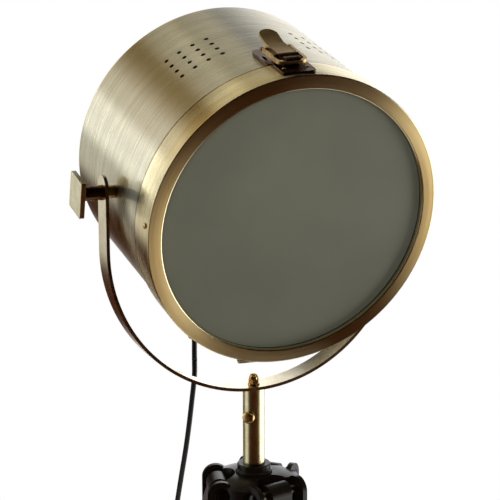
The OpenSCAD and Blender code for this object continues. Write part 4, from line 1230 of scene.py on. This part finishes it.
@dataclass
class Cord:
    """The mains cord: from the gland down behind the stem, through the foot switch, to the coil and plug.

    The routes are those of the solids, across and behind the stem and above the floor, in metres.
    """

    diameter: float = 6.0 * MM
    turns: float = 2.5
    coil_radius: float = 42.5 * MM
    gap: float = 0.6 * MM  # between the coil's turns and its layers
    floor: float = 3.05 * MM  # the height of the cord's middle where it lies on the floor
    coil_steps: int = 24
    sides: int = 16
    relief_end: float = -155.6 * MM  # where it leaves the strain relief, along the head's axis
    straight: float = 5.9 * MM  # how far it goes straight on from there
    upper: Tuple[Tuple[float, float, float], ...] = (
        (0, 0.173, 1.361), (0, 0.184, 1.358), (0, 0.192, 1.3495), (0, 0.196, 1.335), (0, 0.196, 1.305),
        (0, 0.191, 1.260), (0, 0.183, 1.210), (0, 0.175, 1.160), (0, 0.171, 1.120), (0, 0.171, 1.100),
        (0, 0.171, 1.090))
    lower: Tuple[Tuple[float, float, float], ...] = (
        (0, 0.171, 1.0899), (0, 0.171, 1.083), (0, 0.171, 1.076), (0, 0.1735, 1.062), (0, 0.180, 1.040),
        (0, 0.189, 1.010), (0, 0.201, 0.975), (0, 0.216, 0.938), (0, 0.231, 0.900), (0, 0.250, 0.850),
        (0, 0.268, 0.800), (0, 0.296, 0.700), (0, 0.315, 0.600), (0, 0.326, 0.500), (0, 0.331, 0.400),
        (0, 0.3317, 0.300), (0, 0.3317, 0.200), (0, 0.3317, 0.110), (0, 0.3317, 0.060),
        (0, 0.3317, 0.035), (-0.004, 0.3317, 0.018), (-0.015, 0.3317, 0.007), (-0.023, 0.3317, 0.0047),
        (-0.032, 0.3317, 0.0033), (-0.055, 0.3317, 0.00305), (-0.080, 0.330, 0.00305),
        (-0.104, 0.324, 0.00305), (-0.124, 0.310, 0.00305), (-0.137, 0.292, 0.00305),
        (-0.140, 0.277, 0.0055), (-0.140, 0.268, 0.006), (-0.140, 0.260, 0.006))
    switch_end: float = 0.1899  # where it leaves the foot switch, behind the stem
    coil_y: float = 0.140  # where the coil's middle is, behind the stem
    plug_start: float = 0.185  # where the plug's moulded body begins
    plug_end: float = 0.2272  # where it ends and the pins begin
    play: float = 0.1 * MM  # between the cord's end and what it goes into
    yoke_bend_end: float = 1.095  # a height on the upper stretch, handed to bend
    stand_bend_end: float = 0.630  # a height on the lower stretch, handed to bend

    def routes(self, head: HeadFrame) -> Tuple[List[Vector], List[Vector], List[Vector]]:
        """Works out the three routes in the row's frame.

        Args:
            head: the head's frame.

        Returns:
            The upper, the lower and the coiled stretch.
        """
        stem = Vector((head.stem.x, head.stem.y, 0))
        leaving = [tuple(head.point(0, 0, along) - stem) for along in (self.relief_end,
                                                                       self.relief_end - self.straight)]
        upper = [p + stem for p in smooth_route(tuple(leaving) + self.upper, 2)]
        lower = [p + stem for p in smooth_route(self.lower, 2)]
        return upper, lower, [p + stem for p in self.coil()]

    def coil(self) -> List[Vector]:
        """Returns the coil's line: in on the floor, up in half a turn, and out on top."""
        pitch = self.diameter + self.gap
        first, climb = round(self.turns * self.coil_steps), self.coil_steps // 2
        inner = self.coil_radius - self.turns * pitch
        side = self.lower[-1][0]
        centre = Vector((side + self.coil_radius, self.coil_y, 0))
        lead = smooth_route([(side, self.switch_end - d, z) for d, z in
                             ((self.play, 0.006), (0.005, 0.006), (0.010, 0.006), (0.020, 0.0043),
                              (0.030, self.floor))], 2)
        loops = []
        for i in range(2 * first + climb + 1):
            turn = math.pi + 2 * math.pi * i / self.coil_steps
            rise = math.pi * max(0.0, min(1.0, (i - first) / climb))
            radius = (inner - pitch / (2 * math.pi) * math.sin(rise)
                      + pitch * max(first - i, i - first - climb, 0) / self.coil_steps)
            loops.append(centre + Vector((radius * math.cos(turn), radius * math.sin(turn),
                                          self.floor + pitch * (1 - math.cos(rise)) / 2)))
        end = loops[-1]
        tail = [Vector((end.x, y, end.z)) for y in (end.y + 0.012, self.plug_start - self.diameter,
                                                    self.plug_start - self.play)]
        return lead + loops + tail

    @staticmethod
    def bend(obj: bpy.types.Object, bodies: Tuple[str, str], line: Sequence[Vector], low: float) -> None:
        """Bakes a stretch's place into its mesh.

        Args:
            obj: the stretch.
            bodies: not used.
            line: its line.
            low: not used.
        """
        start = line[0]
        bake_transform(obj)

    def build(self, shop: Workshop) -> None:
        """Args:
            shop: the workshop.
        """
        switch = shop.finished("foot_switch", Finish.PLASTIC, 0.0007, segments=3)
        button = shop.finished("switch_button", Finish.BUTTON, 0.001, segments=3)
        plug = shop.finished("plug", Finish.PLASTIC, 0.0015, segments=3)
        second_finish(plug, shop.paint[Finish.SMALL],
                      lambda face: face.center.y - shop.head.stem.y > self.plug_end)
        routes = self.routes(shop.head)
        names = ("cord_upper", "cord_lower", "cord_coil")
        ends = ("object", "object", "plug")
        pieces = ((), (switch, button), (plug,))
        made = []
        for name, line in zip(names, routes):
            bm = tube(line, self.diameter / 2, self.sides)
            made.append(make_object(name + "_pvc", bm, shop.paint[Finish.CORD], Shading.ROUND))
            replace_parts(made[-1], name)
        self.bend(made[0], ("head", "yoke"), routes[0], self.yoke_bend_end)
        self.bend(made[1], ("yoke", "tripod"), routes[1], self.stand_bend_end)
        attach(made[2], "tripod")
        for obj, line, end, with_pieces in zip(made, routes, ends, pieces):
            length = sum((b - a).length for a, b in zip(line, line[1:]))
            LOG.info("%s is %.3f m long", obj.name, length)
            tuple(line[0])
            "coiled" if end == "plug" else "hanging"


# ---------------------------------------------------------------- studio

@dataclass(frozen=True)
class SoftBox:
    """A bright surface of the studio as the metal mirrors it: a far rectangle with soft edges.

    The azimuth runs from straight behind the lamp towards the photograph's right. The half width and
    half height are tangents of the angle that they cover.
    """

    azimuth: float
    elevation: float
    half_width: float
    half_height: float
    softness: float
    light: Tuple[float, float, float]

    def directions(self) -> Tuple[Vector, Vector, Vector]:
        """Returns the directions to the middle, across and upward."""
        turn, rise = math.radians(self.azimuth), math.radians(self.elevation)
        middle = Vector((math.sin(turn) * math.cos(rise), math.cos(turn) * math.cos(rise), math.sin(rise)))
        across = Vector((math.cos(turn), -math.sin(turn), 0))
        return middle, across, across.cross(middle)


@dataclass
class Surroundings:
    """A dark studio with a white sweep behind the lamp and a few soft boxes, for the metal to mirror.

    The camera sees the white background everywhere. Metal and glass mirror that white where the
    sweep stands, and the boxes and dark walls elsewhere. The sweep is lit past white for them, as it
    has to be to look white in brass.
    """

    sweep: SoftBox = SoftBox(27.0, 2.0, 0.32, 0.46, 0.35, (1.85, 1.85, 1.85))
    boxes: Tuple[SoftBox, ...] = (
        SoftBox(-29.0, 6.0, 0.06, 0.13, 0.5, (6.0, 6.0, 5.9)),       # narrow strip behind, on the left
        SoftBox(-25.0, -8.0, 0.16, 0.14, 0.5, (1.2, 1.2, 1.1)),      # low card behind, on the left
        SoftBox(-28.0, 20.0, 0.18, 0.14, 0.4, (0.8, 0.85, 0.9)),     # card above the strip
        SoftBox(-13.0, 45.0, 0.15, 0.09, 0.4, (1.1, 1.05, 0.9)),     # ceiling card, left
        SoftBox(7.0, 46.0, 0.18, 0.10, 0.4, (0.65, 0.55, 0.35)),     # ceiling card, right
        SoftBox(-5.0, 62.0, 0.30, 0.15, 0.4, (0.7, 0.7, 0.57)),      # ceiling card, overhead
        SoftBox(-60.0, 40.0, 0.30, 0.40, 0.4, (1.2, 0.9, 0.45)),     # warm card, high on the left
        SoftBox(-75.0, 0.0, 0.40, 0.60, 0.4, (1.0, 1.1, 1.1)),       # card on the left side
        SoftBox(104.0, -18.0, 0.50, 0.38, 0.4, (3.5, 3.45, 3.1)),    # large box on the right side
        SoftBox(70.0, 0.0, 0.30, 0.50, 0.4, (0.65, 0.7, 0.9)),       # cool card behind it
    )
    walls: str = "#120d09"
    ground: str = "#46240c"

    @staticmethod
    def amount_group() -> bpy.types.NodeTree:
        """Builds the group that tells how much of a soft box lies in a direction."""
        group = bpy.data.node_groups.new("soft_box", "ShaderNodeTree")
        for label in ("Direction", "Middle", "Across", "Upward"):
            group.interface.new_socket(label, in_out="INPUT", socket_type="NodeSocketVector")
        for label in ("Half Width", "Half Height", "Softness"):
            group.interface.new_socket(label, in_out="INPUT", socket_type="NodeSocketFloat")
        group.interface.new_socket("Amount", in_out="OUTPUT", socket_type="NodeSocketFloat")
        sizes = group.nodes.new("NodeGroupInput")
        depth = add(group, "ShaderNodeVectorMath", {"operation": "DOT_PRODUCT"}, _0=(sizes, "Direction"),
                    _1=(sizes, "Middle"))
        ahead = add(group, "ShaderNodeMath", {"operation": "GREATER_THAN"}, _0=(depth, "Value"), _1=0.001)
        product: bpy.types.Node = ahead
        for way, half in (("Across", "Half Width"), ("Upward", "Half Height")):
            reach = add(group, "ShaderNodeVectorMath", {"operation": "DOT_PRODUCT"},
                        _0=(sizes, "Direction"),
                        _1=(sizes, way))
            size = add(group, "ShaderNodeMath", {"operation": "ABSOLUTE"}, _0=(reach, "Value"))
            slope = add(group, "ShaderNodeMath", {"operation": "DIVIDE"}, _0=(size, "Value"),
                        _1=(depth, "Value"))
            blur = add(group, "ShaderNodeMath", {"operation": "MULTIPLY"}, _0=(sizes, half),
                       _1=(sizes, "Softness"))
            outer = add(group, "ShaderNodeMath", {"operation": "ADD"}, _0=(sizes, half), _1=(blur, "Value"))
            inner = add(group, "ShaderNodeMath", {"operation": "SUBTRACT"}, _0=(sizes, half),
                        _1=(blur, "Value"))
            edge = add(group, "ShaderNodeMapRange", {"interpolation_type": "SMOOTHSTEP"},
                       Value=(slope, "Value"))
            group.links.new(outer.outputs["Value"], edge.inputs["From Min"])
            group.links.new(inner.outputs["Value"], edge.inputs["From Max"])
            product = add(group, "ShaderNodeMath", {"operation": "MULTIPLY"}, _0=(product, "Value"),
                          _1=(edge, "Result"))
        out = group.nodes.new("NodeGroupOutput")
        group.links.new(product.outputs["Value"], out.inputs["Amount"])
        return group

    def build(self) -> None:
        """Makes the world."""
        world = bpy.data.worlds.new("surroundings")
        bpy.context.scene.world = world
        world.use_nodes = True
        tree = world.node_tree
        tree.nodes.clear()
        group = self.amount_group()
        way = add(tree, "ShaderNodeTexCoord")
        parts = add(tree, "ShaderNodeSeparateXYZ", Vector=(way, "Generated"))
        height = add(tree, "ShaderNodeMapRange", Value=(parts, "Z"))
        height.inputs["From Min"].default_value = -1.0
        stops = [(0.3, linear(self.ground)), (0.5, linear(self.walls))]
        total: Link = (add(tree, "ShaderNodeValToRGB", {"stops": stops}, Fac=(height, "Result")),
                       "Color")
        amounts = []
        for box in (self.sweep,) + self.boxes:
            middle, across, upward = box.directions()
            amounts.append(add(tree, "ShaderNodeGroup", {"node_tree": group}, Direction=(way, "Generated"),
                               Middle=tuple(middle), Across=tuple(across), Upward=tuple(upward),
                               Half__Width=box.half_width, Half__Height=box.half_height,
                               Softness=box.softness))
            total = (add(tree, "ShaderNodeMix", {"data_type": "RGBA", "blend_type": "ADD"},
                         _0=(amounts[-1], "Amount"), _6=total, _7=box.light + (1.0,)), 2)
        lit = add(tree, "ShaderNodeBackground", Color=total, Strength=1.0)
        path = add(tree, "ShaderNodeLightPath")
        mirrored = add(tree, "ShaderNodeMath", {"operation": "MAXIMUM"}, _0=(path, "Is Glossy Ray"),
                       _1=(path, "Is Transmission Ray"))
        level = add(tree, "ShaderNodeMath", {"operation": "MULTIPLY_ADD"}, _0=(mirrored, "Value"),
                    _1=self.sweep.light[0] - 1.0, _2=1.0)
        white = add(tree, "ShaderNodeBackground", Color=(1.0, 1.0, 1.0, 1.0), Strength=(level, "Value"))
        sweep = add(tree, "ShaderNodeMath", {"operation": "MULTIPLY"}, _0=(mirrored, "Value"),
                    _1=(amounts[0], "Amount"))
        seen = add(tree, "ShaderNodeMath", {"operation": "MAXIMUM"}, _0=(path, "Is Camera Ray"),
                   _1=(sweep, "Value"))
        mixed = add(tree, "ShaderNodeMixShader", _0=(seen, "Value"), _1=(lit, "Background"),
                    _2=(white, "Background"))
        add(tree, "ShaderNodeOutputWorld", Surface=(mixed, "Shader"))


@dataclass
class Studio:
    """The pale floor, the soft light and the camera at the photograph's angle."""

    distance: float = 2083.32 * MM
    azimuth: float = math.radians(-22.8)
    elevation: float = math.radians(13.89)
    roll: float = math.radians(-0.19)
    side: float = -3.16 * MM
    drop: float = -72.37 * MM
    lens: float = 145.5
    floor_radius: float = 0.8
    floor_drop: float = 0.4 * MM  # so that the feet's undersides don't lie in the floor's surface
    plain_radius: float = 0.45  # the floor shows its own shade and shadow to here
    white_radius: float = 0.75  # and is white from here on
    target_height: float = 0.9  # what the lamps point at, on the stem's axis

    def camera(self, head: HeadFrame) -> None:
        """Sets the camera.

        Args:
            head: the head's frame, which the camera looks at.
        """
        back = Vector((math.sin(self.azimuth) * math.cos(self.elevation),
                       -math.cos(self.azimuth) * math.cos(self.elevation), math.sin(self.elevation)))
        right = Vector((math.cos(self.azimuth), math.sin(self.azimuth), 0))
        up = back.cross(right)
        eye = head.centre + right * self.side + Vector((0, 0, self.drop)) + back * self.distance
        turned = right * math.cos(self.roll) + up * math.sin(self.roll)
        upright = up * math.cos(self.roll) - right * math.sin(self.roll)
        data = bpy.data.cameras.new("camera")
        data.sensor_width, data.lens = 36.0, self.lens
        data.clip_start, data.clip_end = 0.05, 60.0
        camera = bpy.data.objects.new("camera", data)
        turn = Matrix((turned, upright, back)).transposed()
        camera.matrix_world = Matrix.Translation(eye) @ turn.to_4x4()
        bpy.context.scene.collection.objects.link(camera)
        bpy.context.scene.camera = camera

    def lamp(self, name: str, place: Vector, target: Vector, size: Tuple[float, float],
             power: float) -> None:
        """Adds one soft box that lights the dull pieces.

        Args:
            name: its name.
            place: where it is.
            target: what it points at.
            size: its width and height.
            power: its power in watts.
        """
        data = bpy.data.lights.new(name, "AREA")
        data.shape, data.size, data.size_y, data.energy = "RECTANGLE", size[0], size[1], power
        light = bpy.data.objects.new(name, data)
        light.location = place
        light.rotation_mode = "QUATERNION"
        light.rotation_quaternion = (target - place).to_track_quat("-Z", "Y")
        light.visible_glossy = False  # the metal mirrors the soft boxes of the surroundings instead
        bpy.context.scene.collection.objects.link(light)

    def floor(self, head: HeadFrame) -> None:
        """Lays the pale floor, which turns into the white background away from the lamp.

        Args:
            head: the head's frame, whose stem is over the floor's middle.
        """
        bm = bmesh.new()
        bmesh.ops.create_circle(bm, cap_ends=True, segments=128, radius=self.floor_radius,
                                matrix=Matrix.Translation((head.stem.x, head.stem.y, -self.floor_drop)))
        material, tree = blank_material("pale_painted_floor")
        place = add(tree, "ShaderNodeTexCoord")
        away = add(tree, "ShaderNodeVectorMath", {"operation": "DISTANCE"}, _0=(place, "Object"),
                   _1=tuple(head.stem))
        fade = add(tree, "ShaderNodeMapRange", {"interpolation_type": "SMOOTHSTEP"}, Value=(away, "Value"))
        fade.inputs["From Min"].default_value = self.plain_radius
        fade.inputs["From Max"].default_value = self.white_radius
        path = add(tree, "ShaderNodeLightPath")
        mirrored = add(tree, "ShaderNodeMath", {"operation": "MAXIMUM"}, _0=(path, "Is Glossy Ray"),
                       _1=(path, "Is Transmission Ray"))
        seen = add(tree, "ShaderNodeMath", {"operation": "MAXIMUM"}, _0=(path, "Is Camera Ray"),
                   _1=(mirrored, "Value"))
        amount = add(tree, "ShaderNodeMath", {"operation": "MULTIPLY"}, _0=(seen, "Value"),
                     _1=(fade, "Result"))
        paint = add(tree, "ShaderNodeBsdfPrincipled", Base__Color=linear("#eeeeec"), Roughness=0.9)
        white = add(tree, "ShaderNodeEmission", Color=(1.0, 1.0, 1.0, 1.0), Strength=1.0)
        mixed = add(tree, "ShaderNodeMixShader", _0=(amount, "Value"), _1=(paint, "BSDF"),
                    _2=(white, "Emission"))
        add(tree, "ShaderNodeOutputMaterial", Surface=(mixed, "Shader"))
        make_object("floor", bm, material, Shading.FLAT)

    def build(self, head: HeadFrame) -> None:
        """Sets the light, the floor and the view transform.

        Args:
            head: the head's frame.
        """
        bpy.context.scene.view_settings.view_transform = "Standard"
        Surroundings().build()
        self.floor(head)
        target = head.stem + Vector((0, 0, self.target_height))
        self.lamp("top_box", target + Vector((0.4, -0.3, 2.6)), target, (2.0, 2.0), 70.0)
        self.lamp("front_box", target + Vector((-1.4, -2.8, 1.2)), target, (2.0, 2.0), 60.0)
        self.lamp("back_box", target + Vector((1.2, 2.9, 1.2)), target, (2.0, 2.0), 45.0)


def main() -> None:
    """Builds the studio and the lamp, piece by piece."""
    logging.basicConfig(level=logging.INFO, format="%(name)s: %(message)s", stream=sys.stdout)
    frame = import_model()
    stem_low, stem_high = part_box("stem_tube")
    stem = (stem_low + stem_high) / 2
    head = HeadFrame(Vector((stem.x, stem.y, 0)))
    bodies = frame["record"]["behaviour"]["bodies"]
    body_of = {node: body for body, members in bodies.items() for node in members}
    shop = Workshop(frame["nodes"], body_of, head, Paintbox(head))
    studio = Studio()
    studio.camera(head)
    Cord().build(shop)
    studio.build(head)
    Drum().build(shop)
    FrontRing().build(shop)
    HeadInside().build(shop)
    Yoke().build(shop)
    Stand().build(shop)


if __name__ == "__main__":
    main()
